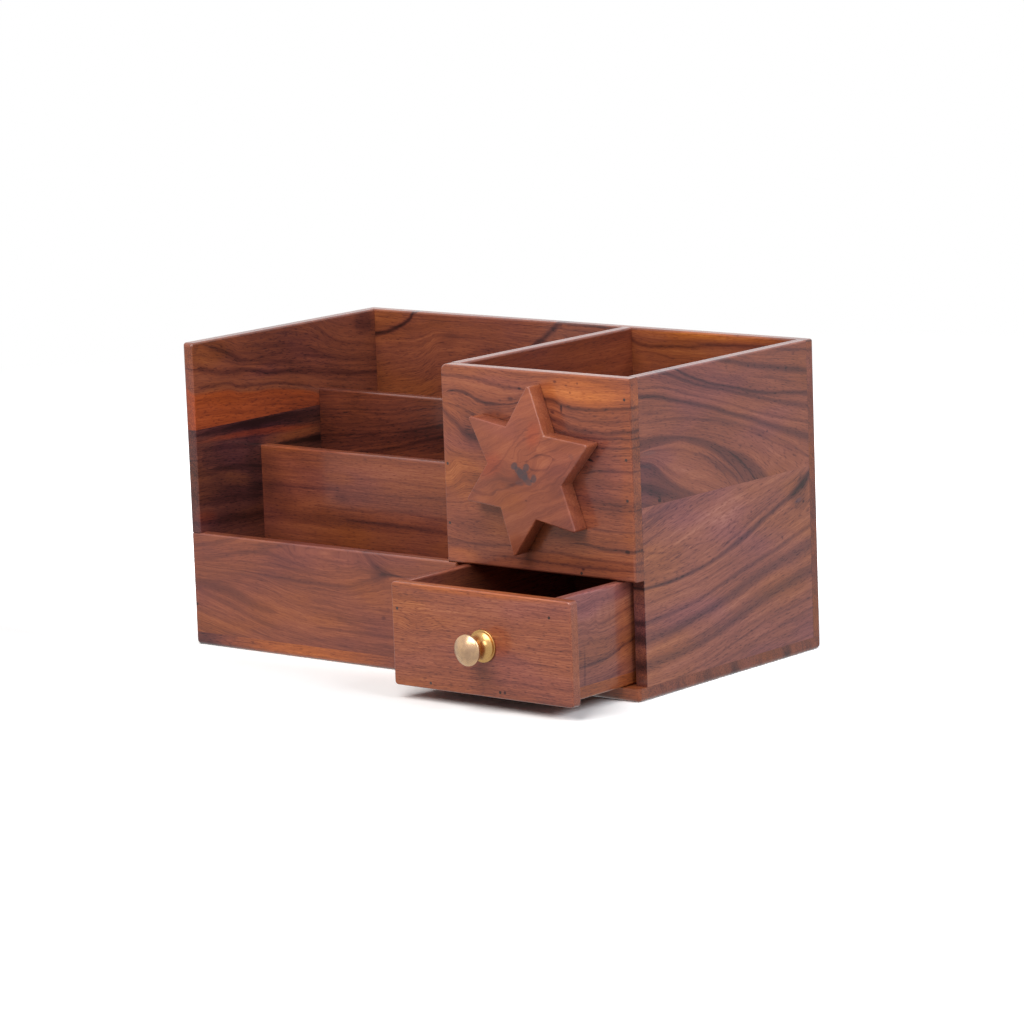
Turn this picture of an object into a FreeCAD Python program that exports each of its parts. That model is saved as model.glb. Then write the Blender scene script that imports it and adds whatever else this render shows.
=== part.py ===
import FreeCAD, Part
import math
import os
import Sketcher

# Pen stand with drawer, in millimetres.
# +X is the right of the object, +Y its back, +Z up. The origin is the middle of the
# underside. The drawer stands open, as far as it is drawn out in the photograph.

DOCUMENT = FreeCAD.newDocument("PenStand")

# Driving dimensions, each one a cell of the sheet
DIMENSIONS = {
    # case
    "width": 229.0,
    "depth": 118.0,
    "height": 124.0,
    "board": 5.2,
    "base_thickness": 5.2,
    "edge_round": 0.9,
    "corner_round": 1.8,
    # pen box and the drawer's opening under it
    "pen_box_width": 91.8,
    "front_panel_proud": 0.7,
    "front_panel_corner_round": 2.6,
    "opening_height": 41.1,
    "low_wall_cover": 3.8,
    # glue lines of the sides, above the base
    "left_glue_line": 83.2,
    "right_glue_line": 68.8,
    # letter rack
    "divider_thickness": 5.0,
    "front_slot": 33.4,
    "middle_slot": 32.2,
    "front_divider_height": 71.8,
    "rear_divider_height": 90.1,
    # star
    "star_reach": 32.7,
    "star_thickness": 7.5,
    "star_lift": 0.9,
    "star_tip_round": 0.9,
    # drawer
    "drawer_pull": 39.8,
    "drawer_front_thickness": 4.8,
    "drawer_side_thickness": 4.2,
    "drawer_bottom_thickness": 4.8,
    "drawer_under_gap": 0.3,
    "drawer_top_gap": 0.5,
    "drawer_left_gap": 0.8,
    "drawer_right_gap": 2.0,
    "drawer_end_gap": 0.5,
    "drawer_back_gap": 4.0,
    "drawer_edge_round": 0.7,
    "drawer_corner_round": 1.5,
    # knob and its screw
    "knob_radius": 6.15,
    "knob_projection": 12.2,
    "knob_aside": 1.1,
    "knob_drop": 0.6,
    "knob_rim_round": 0.9,
    "knob_dome_height": 1.4,
    "knob_waist_radius": 3.3,
    "knob_waist_centre": 4.9,
    "knob_flange_radius": 6.3,
    "knob_flange_thickness": 0.9,
    "knob_flange_round": 0.25,
    "knob_band_radius": 5.9,
    "screw_radius": 1.5,
    "screw_clearance": 0.15,
    "screw_reach": 6.0,
    "screw_head_radius": 3.1,
    "screw_head_height": 1.8,
    "screw_head_round": 0.8,
    "screw_slot_width": 0.7,
    "screw_slot_depth": 0.8,
    # panel pins
    "pin_radius": 0.6,
    "pin_length": 15.0,
    "overrun": 1.0,
}

# The star is sawn by hand, so its corners stray a little from an even star. Each corner
# has its angle in degrees from +X, and its distance from the centre as a share of the reach.
STAR_CORNER_SHARES = [
    (85.0, 1.052), (56.0, 0.546), (22.0, 1.035), (-11.8, 0.550),
    (-41.7, 0.995), (-74.5, 0.568), (-100.9, 1.055), (-130.5, 0.586),
    (-156.1, 0.987), (173.2, 0.564), (143.6, 1.034), (116.7, 0.581),
]
# The star's blank is a square, and its half side is this share of the reach
STAR_BLANK_SHARE = 1.1

# Pins in the front panel. The first number of each is a share of the thickness of the
# board behind, or of the panel's width over the floor. The second is a share of the
# panel's height, or of the floor's thickness.
RIGHT_SIDE_PIN_SHARES = [(0.5, 0.40), (0.5, 0.60), (0.5, 0.895)]
PARTITION_PIN_SHARES = [(0.25, 0.20), (0.25, 0.50)]
FLOOR_PIN_SHARES = [(0.72, 0.27)]

# Pins in the low wall: a share of the board behind, and of the wall's height
LOW_WALL_LEFT_PIN_SHARES = (0.35, 0.28)
LOW_WALL_RIGHT_PIN_SHARES = (0.5, 0.28)

# Pins under the base, as shares of the length that they hold
BASE_PIN_SHARES = (0.20, 0.80)

# Pins in the drawer's front: a share of the side's thickness or the bottom's width, and
# a share of the front's height or the bottom's thickness
DRAWER_LEFT_PIN_SHARES = (0.25, 0.745)
DRAWER_RIGHT_PIN_SHARES = (0.29, 0.83)
DRAWER_BOTTOM_PIN_SHARES = [(0.21, 0.5), (0.645, 0.5)]
DRAWER_BOX_PIN_SHARES = (0.30, 0.85)

# Places and sizes that follow from the driving dimensions, as sheet expressions
HALF_WIDTH = "(Sizes.width / 2)"
FRONT = "(-Sizes.depth / 2)"
BACK = "(Sizes.depth / 2)"
LEFT = f"(-{HALF_WIDTH})"
BOARD = "Sizes.board"
BASE_TOP = "Sizes.base_thickness"
WALL_HEIGHT = "(Sizes.height - Sizes.base_thickness)"
CASE_BACK = f"({BACK} - {BOARD})"
CASE_FRONT = f"({FRONT} + {BOARD})"
SIDE_LENGTH = f"({CASE_BACK} - {CASE_FRONT})"
OPENING_TOP = f"({BASE_TOP} + Sizes.opening_height)"
PARTITION_LEFT = f"({HALF_WIDTH} - Sizes.pen_box_width)"
PARTITION_RIGHT = f"({PARTITION_LEFT} + {BOARD})"
RIGHT_INNER = f"({HALF_WIDTH} - {BOARD})"
LEFT_INNER = f"({LEFT} + {BOARD})"
FRONT_PANEL_LEFT = f"({PARTITION_LEFT} - Sizes.front_panel_proud)"
FRONT_PANEL_WIDTH = f"({HALF_WIDTH} - {FRONT_PANEL_LEFT})"
FRONT_PANEL_HEIGHT = f"(Sizes.height - {OPENING_TOP})"
LOW_WALL_LENGTH = f"({PARTITION_LEFT} + Sizes.low_wall_cover - {LEFT})"
RACK_WIDTH = f"({PARTITION_LEFT} - {LEFT_INNER})"
FRONT_DIVIDER_Y = f"({CASE_FRONT} + Sizes.front_slot)"
REAR_DIVIDER_Y = f"({FRONT_DIVIDER_Y} + Sizes.divider_thickness + Sizes.middle_slot)"

DRAWER_FACE = f"({FRONT} - Sizes.drawer_pull)"
DRAWER_BODY_Y = f"({DRAWER_FACE} + Sizes.drawer_front_thickness)"
DRAWER_FRONT_LEFT = f"({LEFT} + {LOW_WALL_LENGTH} + Sizes.drawer_end_gap)"
DRAWER_FRONT_WIDTH = f"({HALF_WIDTH} - {DRAWER_FRONT_LEFT})"
DRAWER_UNDERSIDE = f"({BASE_TOP} + Sizes.drawer_under_gap)"
DRAWER_HEIGHT = "(Sizes.opening_height - Sizes.drawer_under_gap - Sizes.drawer_top_gap)"
DRAWER_FLOOR = f"({DRAWER_UNDERSIDE} + Sizes.drawer_bottom_thickness)"
DRAWER_SIDE_HEIGHT = f"({DRAWER_HEIGHT} - Sizes.drawer_bottom_thickness)"
DRAWER_LEFT = f"({PARTITION_RIGHT} + Sizes.drawer_left_gap)"
DRAWER_RIGHT = f"({RIGHT_INNER} - Sizes.drawer_right_gap)"
DRAWER_WIDTH = f"({DRAWER_RIGHT} - {DRAWER_LEFT})"
DRAWER_SIDE = "Sizes.drawer_side_thickness"
DRAWER_LENGTH = (
    f"({CASE_BACK} - Sizes.drawer_back_gap - Sizes.drawer_front_thickness - {FRONT})"
)
DRAWER_END_Y = f"({DRAWER_BODY_Y} + {DRAWER_LENGTH})"
KNOB_X = f"(({DRAWER_FRONT_LEFT} + {HALF_WIDTH}) / 2 + Sizes.knob_aside)"
KNOB_Z = f"({DRAWER_UNDERSIDE} + {DRAWER_HEIGHT} / 2 - Sizes.knob_drop)"

# Turns that lay a piece's own +Z along another axis
UPRIGHT = FreeCAD.Rotation()
BACKWARD = FreeCAD.Rotation(FreeCAD.Vector(1, 0, 0), -90)
FORWARD = FreeCAD.Rotation(FreeCAD.Vector(1, 0, 0), 90)
HALF_TURN = FreeCAD.Rotation(FreeCAD.Vector(0, 0, 1), 180)

MILLIMETRE_FUZZ = 1e-4


def make_sheet():
    """Write the driving dimensions into the sheet, one named cell each."""
    sheet = DOCUMENT.addObject("Spreadsheet::Sheet", "Sizes")
    for row, (alias, value) in enumerate(DIMENSIONS.items(), start=1):
        sheet.set(f"A{row}", alias)
        sheet.set(f"B{row}", str(value))
        sheet.setAlias(f"B{row}", alias)
    DOCUMENT.recompute()
    return sheet


SHEET = make_sheet()


def value_of(expression):
    """The present value of a sheet expression."""
    return float(SHEET.evalExpression(str(expression)))


def put(piece, place, turn=UPRIGHT):
    """Bind a piece's place to three expressions, and turn it."""
    start = FreeCAD.Vector(*[value_of(part) for part in place])
    piece.Placement = FreeCAD.Placement(start, turn)
    for axis, expression in zip("xyz", place):
        piece.setExpression(f"Placement.Base.{axis}", expression)


def plane_of(body, role):
    """One of a body's own origin planes."""
    return next(item for item in body.Origin.OriginFeatures if item.Role == role)


def bind_coordinate(sketch, kind, item, point, expression):
    """Bind one coordinate of a sketch point, DistanceX or DistanceY from the origin."""
    if expression == 0:
        axis_line = -2 if kind == "DistanceX" else -1
        sketch.addConstraint(Sketcher.Constraint("PointOnObject", item, point, axis_line))
        return
    index = sketch.addConstraint(
        Sketcher.Constraint(kind, -1, 1, item, point, value_of(expression))
    )
    sketch.setExpression(f"Constraints[{index}]", expression)


def arc_between(start, end, centre_x, clockwise):
    """The arc from start to end whose centre lies at centre_x."""
    rise = 2 * (end.y - start.y)
    spread = (end.x - centre_x) ** 2 - (start.x - centre_x) ** 2
    centre = FreeCAD.Vector(centre_x, (end.y**2 - start.y**2 + spread) / rise, 0)
    first, last = (end, start) if clockwise else (start, end)
    angles = [math.atan2(point.y - centre.y, point.x - centre.x) for point in (first, last)]
    circle = Part.Circle(centre, FreeCAD.Vector(0, 0, 1), (start - centre).Length)
    return Part.ArcOfCircle(circle, *angles)


def outline(body, role, corners, arcs=None):
    """A closed outline on an origin plane of a body.

    Each corner is a pair of expressions. Lines join the corners, apart from the arcs:
    the number of the corner that one starts at, its centre's x and whether it is clockwise.
    """
    arcs = arcs or {}
    sketch = body.newObject("Sketcher::SketchObject", body.Name + "_outline")
    sketch.AttachmentSupport = [(plane_of(body, role), "")]
    sketch.MapMode = "FlatFace"
    points = [FreeCAD.Vector(value_of(x), value_of(y), 0) for x, y in corners]
    ends = []
    for number, (start, end) in enumerate(zip(points, points[1:] + points[:1])):
        centre_x, clockwise = arcs.get(number, (None, False))
        if centre_x is None:
            sketch.addGeometry(Part.LineSegment(start, end))
        else:
            sketch.addGeometry(arc_between(start, end, value_of(centre_x), clockwise))
        ends.append((2, 1) if clockwise else (1, 2))
    for number, corner in enumerate(corners):
        following = (number + 1) % len(corners)
        sketch.addConstraint(
            Sketcher.Constraint("Coincident", number, ends[number][1], following, ends[following][0])
        )
        bind_coordinate(sketch, "DistanceX", number, ends[number][0], corner[0])
        bind_coordinate(sketch, "DistanceY", number, ends[number][0], corner[1])
    for number, (centre_x, _) in arcs.items():
        bind_coordinate(sketch, "DistanceX", number, 3, centre_x)
    return sketch


def padded_body(name, role, corners, thickness, place):
    """A board: an outline on one origin plane, padded to its thickness."""
    body = DOCUMENT.addObject("PartDesign::Body", name)
    pad = body.newObject("PartDesign::Pad", name + "_pad")
    pad.Profile = outline(body, role, corners)
    pad.setExpression("Length", thickness)
    put(body, place)
    DOCUMENT.recompute()
    return body


def turned_body(name, corners, arcs, place, turn):
    """A turned piece: half its profile, from the axis outwards, revolved about Y."""
    body = DOCUMENT.addObject("PartDesign::Body", name)
    profile = outline(body, "XY_Plane", corners, arcs)
    revolution = body.newObject("PartDesign::Revolution", name + "_turned")
    revolution.Profile = profile
    revolution.ReferenceAxis = (profile, ["V_Axis"])
    revolution.Angle = 360
    put(body, place, turn)
    DOCUMENT.recompute()
    return body


def rectangle(across, up):
    """The corners of a rectangle from the origin."""
    return [(0, 0), (across, 0), (across, up), (0, up)]


def faces_met(edge, box):
    """The faces of a box that an edge lies in, such as x0 or z1."""
    span = edge.BoundBox
    met = set()
    for axis in "XYZ":
        low = getattr(span, axis + "Min")
        high = getattr(span, axis + "Max")
        if abs(high - low) > MILLIMETRE_FUZZ:
            continue
        if abs(low - getattr(box, axis + "Min")) < MILLIMETRE_FUZZ:
            met.add(axis.lower() + "0")
        if abs(low - getattr(box, axis + "Max")) < MILLIMETRE_FUZZ:
            met.add(axis.lower() + "1")
    return met


def numbers_of(shape, wanted):
    """The numbers of the edges for which wanted(edge) holds."""
    return [number for number, edge in enumerate(shape.Edges, start=1) if wanted(edge)]


def round_body(body, wanted, radius):
    """Round the wanted edges of a body."""
    tip = body.Tip
    names = [f"Edge{number}" for number in numbers_of(tip.Shape, wanted)]
    fillet = body.newObject("PartDesign::Fillet", tip.Name + "_soft")
    fillet.Base = (tip, names)
    fillet.setExpression("Radius", radius)
    body.Tip = fillet
    DOCUMENT.recompute()
    return body


def soften(body, pairs, radius="Sizes.edge_round"):
    """Round those edges of a board that lie between the named pairs of its faces."""
    wanted = [set(pair.split()) for pair in pairs]
    box = body.Tip.Shape.BoundBox
    return round_body(
        body, lambda edge: any(pair <= faces_met(edge, box) for pair in wanted), radius
    )


def board(name, place, size, soft=(), radius="Sizes.edge_round"):
    """A plain board from its lowest corner and its size along X, Y and Z."""
    across, deep, up = size
    body = padded_body(name, "XY_Plane", rectangle(across, deep), up, place)
    if soft:
        soften(body, soft, radius)
    return body


def rod(name, place, radius, length, turn):
    """A cylinder that starts at place."""
    cylinder = DOCUMENT.addObject("Part::Cylinder", name)
    cylinder.setExpression("Radius", radius)
    cylinder.setExpression("Height", length)
    put(cylinder, place, turn)
    return cylinder


def pin_group(label, places, turn):
    """Panel pins as separate solids of one piece, all driven the same way."""
    pins = [
        rod(f"{label}_{number}", place, "Sizes.pin_radius", "Sizes.pin_length", turn)
        for number, place in enumerate(places, start=1)
    ]
    group = DOCUMENT.addObject("Part::Compound", label)
    group.Links = pins
    return group


def share_of(low, size, share):
    """A place that lies a share of the way along a size."""
    return f"({low} + {size} * {share})"


def middle_of(low, size):
    """The middle of a size that starts at low."""
    return f"({low} + {size} / 2)"


def less(name, blank, tools):
    """A blank less the tools that pass through it."""
    tool = tools[0]
    if len(tools) > 1:
        tool = DOCUMENT.addObject("Part::Compound", name + "_tools")
        tool.Links = tools
    cut = DOCUMENT.addObject("Part::Cut", name)
    cut.Base = blank
    cut.Tool = tool
    return cut


def shared_places(shares, along, up, face):
    """Pin places on a front face, each a share of two spans given as (low, size)."""
    return [
        (share_of(*along, across_share), face, share_of(*up, up_share))
        for across_share, up_share in shares
    ]


def front_panel_pins():
    """Pins through the pen box's front into the right side, partition and floor."""
    panel_up = (OPENING_TOP, FRONT_PANEL_HEIGHT)
    places = shared_places(RIGHT_SIDE_PIN_SHARES, (RIGHT_INNER, BOARD), panel_up, FRONT)
    places += shared_places(PARTITION_PIN_SHARES, (PARTITION_LEFT, BOARD), panel_up, FRONT)
    panel_across = (FRONT_PANEL_LEFT, FRONT_PANEL_WIDTH)
    places += shared_places(FLOOR_PIN_SHARES, panel_across, (OPENING_TOP, BOARD), FRONT)
    return pin_group("front_panel_pins", places, BACKWARD)


def low_wall_pins():
    """Pins through the low wall into the left side and the partition."""
    wall_up = (BASE_TOP, "Sizes.opening_height")
    places = shared_places([LOW_WALL_LEFT_PIN_SHARES], (LEFT, BOARD), wall_up, FRONT)
    places += shared_places(
        [LOW_WALL_RIGHT_PIN_SHARES], (PARTITION_LEFT, BOARD), wall_up, FRONT
    )
    return pin_group("low_wall_pins", places, BACKWARD)


def base_pins():
    """Pins through the base up into the sides, partition and back."""
    places = []
    for across in (LEFT, PARTITION_LEFT, RIGHT_INNER):
        for share in BASE_PIN_SHARES:
            along = share_of(CASE_FRONT, SIDE_LENGTH, share)
            places.append((middle_of(across, BOARD), along, "0"))
    for share in BASE_PIN_SHARES:
        across = share_of(LEFT, "Sizes.width", share)
        places.append((across, middle_of(CASE_BACK, BOARD), "0"))
    return pin_group("base_pins", places, UPRIGHT)


def back_panel_pins():
    """Pins through the back, into the middle of each board of the sides and twice into
    the partition."""
    places = []
    for across, glue_line in (
        (LEFT, "Sizes.left_glue_line"),
        (PARTITION_LEFT, f"({WALL_HEIGHT} / 2)"),
        (RIGHT_INNER, "Sizes.right_glue_line"),
    ):
        upper_height = f"({WALL_HEIGHT} - {glue_line})"
        for up in (
            middle_of(BASE_TOP, glue_line),
            middle_of(f"({BASE_TOP} + {glue_line})", upper_height),
        ):
            places.append((middle_of(across, BOARD), BACK, up))
    return pin_group("back_panel_pins", places, FORWARD)


def drawer_front_pins():
    """Pins through the drawer's front into its sides and bottom."""
    front_up = (DRAWER_UNDERSIDE, DRAWER_HEIGHT)
    bottom_up = (DRAWER_UNDERSIDE, "Sizes.drawer_bottom_thickness")
    bottom_across = (DRAWER_LEFT, DRAWER_WIDTH)
    left_across = (DRAWER_LEFT, DRAWER_SIDE)
    right_across = (f"({DRAWER_RIGHT} - {DRAWER_SIDE})", DRAWER_SIDE)
    places = shared_places([DRAWER_LEFT_PIN_SHARES], left_across, front_up, DRAWER_FACE)
    places += shared_places([DRAWER_RIGHT_PIN_SHARES], right_across, front_up, DRAWER_FACE)
    places += shared_places(DRAWER_BOTTOM_PIN_SHARES, bottom_across, bottom_up, DRAWER_FACE)
    return pin_group("drawer_front_pins", places, BACKWARD)


def drawer_box_pins():
    """Pins through the drawer's bottom up into its sides and back."""
    left = middle_of(DRAWER_LEFT, DRAWER_SIDE)
    right = middle_of(f"({DRAWER_RIGHT} - {DRAWER_SIDE})", DRAWER_SIDE)
    places = []
    for across in (left, right):
        for share in DRAWER_BOX_PIN_SHARES:
            along = share_of(DRAWER_BODY_Y, DRAWER_LENGTH, share)
            places.append((across, along, DRAWER_UNDERSIDE))
    back_y = middle_of(f"({DRAWER_END_Y} - {DRAWER_SIDE})", DRAWER_SIDE)
    places.append((middle_of(DRAWER_LEFT, DRAWER_WIDTH), back_y, DRAWER_UNDERSIDE))
    return pin_group("drawer_box_pins", places, UPRIGHT)


def make_base(pins):
    """The base board, under every other board."""
    blank = board(
        "base_blank",
        (LEFT, FRONT, "0"),
        ("Sizes.width", "Sizes.depth", BASE_TOP),
        soft=("z0 x0", "z0 x1", "z0 y0", "z0 y1", "x0 y0", "x1 y0", "x0 y1", "x1 y1"),
        radius="Sizes.corner_round",
    )
    return less("base_board", blank, [pins])


def make_back(pins_below, pins_behind):
    """The back panel, which covers the ends of the sides."""
    blank = board(
        "back_blank",
        (LEFT, CASE_BACK, BASE_TOP),
        ("Sizes.width", BOARD, WALL_HEIGHT),
        soft=("x0 y1", "x1 y1"),
        radius="Sizes.corner_round",
    )
    soften(blank, ("z1 y0", "z1 y1", "z1 x0", "z1 x1"))
    return less("back_panel", blank, [pins_below, pins_behind])


def make_left_lower(pins):
    """The left side's lower board, notched where the low wall crosses its end."""
    corners = [
        (BOARD, 0),
        (f"({SIDE_LENGTH} + {BOARD})", 0),
        (f"({SIDE_LENGTH} + {BOARD})", "Sizes.left_glue_line"),
        (0, "Sizes.left_glue_line"),
        (0, "Sizes.opening_height"),
        (BOARD, "Sizes.opening_height"),
    ]
    blank = padded_body("left_lower_blank", "YZ_Plane", corners, BOARD, (LEFT, FRONT, BASE_TOP))
    soften(blank, ("y0 x0",), "Sizes.corner_round")
    soften(blank, ("y0 x1",))
    return less("left_side_lower_board", blank, pins)


def make_left_upper(pins):
    """The left side's upper board."""
    blank = board(
        "left_upper_blank",
        (LEFT, FRONT, f"({BASE_TOP} + Sizes.left_glue_line)"),
        (BOARD, f"({SIDE_LENGTH} + {BOARD})", f"({WALL_HEIGHT} - Sizes.left_glue_line)"),
        soft=("z1 y0", "y0 x0"),
        radius="Sizes.corner_round",
    )
    soften(blank, ("z1 x0", "z1 x1", "y0 x1"))
    return less("left_side_upper_board", blank, [pins])


def make_right_lower(pins):
    """The right side's lower board."""
    blank = board(
        "right_lower_blank",
        (RIGHT_INNER, CASE_FRONT, BASE_TOP),
        (BOARD, SIDE_LENGTH, "Sizes.right_glue_line"),
    )
    return less("right_side_lower_board", blank, pins)


def make_right_upper(pins):
    """The right side's upper board."""
    blank = board(
        "right_upper_blank",
        (RIGHT_INNER, CASE_FRONT, f"({BASE_TOP} + Sizes.right_glue_line)"),
        (BOARD, SIDE_LENGTH, f"({WALL_HEIGHT} - Sizes.right_glue_line)"),
        soft=("z1 x0", "z1 x1"),
    )
    return less("right_side_upper_board", blank, pins)


def make_partition(pins):
    """The full-height wall between the letter rack and the pen box."""
    blank = board(
        "partition_blank",
        (PARTITION_LEFT, CASE_FRONT, BASE_TOP),
        (BOARD, SIDE_LENGTH, WALL_HEIGHT),
        soft=("z1 x0", "z1 x1"),
    )
    return less("pen_box_partition", blank, pins)


def make_floor(pins):
    """The pen box's floor, which is also the roof over the drawer."""
    blank = board(
        "floor_blank",
        (PARTITION_RIGHT, CASE_FRONT, OPENING_TOP),
        (f"({RIGHT_INNER} - {PARTITION_RIGHT})", SIDE_LENGTH, BOARD),
    )
    return less("pen_box_floor", blank, [pins])


def make_front_panel(pins):
    """The pen box's front, which carries the star."""
    blank = board(
        "front_panel_blank",
        (FRONT_PANEL_LEFT, FRONT, OPENING_TOP),
        (FRONT_PANEL_WIDTH, BOARD, FRONT_PANEL_HEIGHT),
        soft=("z1 x0",),
        radius="Sizes.front_panel_corner_round",
    )
    soften(blank, ("z1 y0", "z1 y1", "x0 y0", "x0 y1", "x1 y0", "z0 y0"))
    return less("pen_box_front_panel", blank, [pins])


def make_low_wall(pins):
    """The low front wall of the letter rack, which ends at the drawer's opening."""
    blank = board(
        "low_wall_blank",
        (LEFT, FRONT, BASE_TOP),
        (LOW_WALL_LENGTH, BOARD, "Sizes.opening_height"),
        soft=("x0 y0",),
        radius="Sizes.corner_round",
    )
    soften(blank, ("z1 y0", "z1 y1", "x1 y0"))
    return less("low_front_wall", blank, [pins])


def make_dividers():
    """The two dividers of the letter rack, the rear one higher."""
    for name, along, up in (
        ("front_divider", FRONT_DIVIDER_Y, "Sizes.front_divider_height"),
        ("rear_divider", REAR_DIVIDER_Y, "Sizes.rear_divider_height"),
    ):
        board(
            name,
            (LEFT_INNER, along, BASE_TOP),
            (RACK_WIDTH, "Sizes.divider_thickness", up),
            soft=("z1 y0", "z1 y1"),
        )


def make_star():
    """The six-pointed star, sawn from a square blank and glued to the front panel."""
    half = f"(Sizes.star_reach * {STAR_BLANK_SHARE})"
    corners = [
        (
            f"({half} + Sizes.star_reach * {share} * cos({angle} deg))",
            f"({half} + Sizes.star_reach * {share} * sin({angle} deg))",
        )
        for angle, share in STAR_CORNER_SHARES
    ]
    centre_x = middle_of(FRONT_PANEL_LEFT, FRONT_PANEL_WIDTH)
    centre_z = f"({OPENING_TOP} + {FRONT_PANEL_HEIGHT} / 2 + Sizes.star_lift)"
    place = (f"({centre_x} - {half})", FRONT, f"({centre_z} - {half})")
    body = padded_body("star_ornament", "XZ_Plane", corners, "Sizes.star_thickness", place)
    middle = FreeCAD.Vector(value_of(half), 0, value_of(half))
    reach = value_of("Sizes.star_reach") * min(share for _, share in STAR_CORNER_SHARES[::2])
    return round_body(
        body,
        lambda edge: is_star_tip(edge, middle, reach),
        "Sizes.star_tip_round",
    )


def is_star_tip(edge, middle, reach):
    """Whether an edge runs through the star's thickness at one of its outer points."""
    span = edge.BoundBox
    runs_through = span.YLength > MILLIMETRE_FUZZ and span.XLength < MILLIMETRE_FUZZ
    away = FreeCAD.Vector(span.XMin - middle.x, 0, span.ZMin - middle.z)
    return runs_through and away.Length > reach - MILLIMETRE_FUZZ


def make_drawer_front(pins):
    """The drawer's front, which overlaps the right side's end when it is shut."""
    blank = board(
        "drawer_front_blank",
        (DRAWER_FRONT_LEFT, DRAWER_FACE, DRAWER_UNDERSIDE),
        (DRAWER_FRONT_WIDTH, "Sizes.drawer_front_thickness", DRAWER_HEIGHT),
        soft=("x0 z0", "x0 z1", "x1 z0", "x1 z1"),
        radius="Sizes.drawer_corner_round",
    )
    soften(blank, ("z0 y0", "z1 y0", "z1 y1"), "Sizes.drawer_edge_round")
    hole = rod(
        "screw_hole",
        (KNOB_X, f"({DRAWER_FACE} - Sizes.overrun)", KNOB_Z),
        "(Sizes.screw_radius + Sizes.screw_clearance)",
        "(Sizes.drawer_front_thickness + 2 * Sizes.overrun)",
        BACKWARD,
    )
    return less("drawer_front", blank, [pins, hole])


def make_drawer_sides(pins):
    """The drawer's two sides, which stand on its bottom."""
    for name, across in (
        ("drawer_left_side", DRAWER_LEFT),
        ("drawer_right_side", f"({DRAWER_RIGHT} - {DRAWER_SIDE})"),
    ):
        blank = board(
            name + "_blank",
            (across, DRAWER_BODY_Y, DRAWER_FLOOR),
            (DRAWER_SIDE, DRAWER_LENGTH, DRAWER_SIDE_HEIGHT),
            soft=("z1 x0", "z1 x1"),
        )
        less(name, blank, pins)


def make_drawer_back(pins):
    """The drawer's back, between its sides."""
    blank = board(
        "drawer_back_blank",
        (f"({DRAWER_LEFT} + {DRAWER_SIDE})", f"({DRAWER_END_Y} - {DRAWER_SIDE})", DRAWER_FLOOR),
        (f"({DRAWER_WIDTH} - 2 * {DRAWER_SIDE})", DRAWER_SIDE, DRAWER_SIDE_HEIGHT),
        soft=("z1 y0", "z1 y1"),
    )
    return less("drawer_back", blank, [pins])


def make_drawer_bottom(pins):
    """The drawer's bottom board, which slides on the base."""
    blank = board(
        "drawer_bottom_blank",
        (DRAWER_LEFT, DRAWER_BODY_Y, DRAWER_UNDERSIDE),
        (DRAWER_WIDTH, DRAWER_LENGTH, "Sizes.drawer_bottom_thickness"),
        soft=("z0 x0", "z0 x1", "z0 y1"),
    )
    return less("drawer_bottom", blank, pins)


def rounded(name, base, wanted, radius):
    """A piece with the wanted edges rounded."""
    DOCUMENT.recompute()
    size = value_of(radius)
    fillet = DOCUMENT.addObject("Part::Fillet", name)
    fillet.Base = base
    fillet.Edges = [(number, size, size) for number in numbers_of(base.Shape, wanted)]
    DOCUMENT.recompute()
    return fillet


def make_knob():
    """The turned brass knob: a flange, a round waist and a domed head, with a blind bore."""
    bore = "Sizes.screw_radius"
    head = "Sizes.knob_radius"
    band = "Sizes.knob_band_radius"
    flange = "Sizes.knob_flange_radius"
    flange_top = "Sizes.knob_flange_thickness"
    tip = "Sizes.knob_projection"
    waist_low = f"sqrt(Sizes.knob_waist_radius ^ 2 - ({head} - {band}) ^ 2)"
    corners = [
        (bore, 0),
        (flange, 0),
        (flange, flange_top),
        (band, flange_top),
        (band, f"(Sizes.knob_waist_centre - {waist_low})"),
        (head, "(Sizes.knob_waist_centre + Sizes.knob_waist_radius)"),
        (head, "(Sizes.knob_projection - Sizes.knob_dome_height)"),
        (0, tip),
        (0, "Sizes.screw_reach"),
        (bore, "Sizes.screw_reach"),
    ]
    arcs = {4: (head, True), 6: (0, False)}
    knob = turned_body("drawer_knob", corners, arcs, (KNOB_X, DRAWER_FACE, KNOB_Z), HALF_TURN)
    head_radius = value_of(head)
    waist = value_of("Sizes.knob_waist_centre")
    round_body(
        knob,
        lambda edge: is_ring(edge, head_radius) and edge.BoundBox.YMin > waist,
        "Sizes.knob_rim_round",
    )
    flange_radius = value_of(flange)
    return round_body(
        knob,
        lambda edge: is_ring(edge, flange_radius) and edge.BoundBox.YMin > MILLIMETRE_FUZZ,
        "Sizes.knob_flange_round",
    )


def is_ring(edge, radius):
    """Whether an edge is a circle of the given radius."""
    if edge.Degenerated or not isinstance(edge.Curve, Part.Circle):
        return False
    return abs(edge.Curve.Radius - radius) < MILLIMETRE_FUZZ


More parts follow.
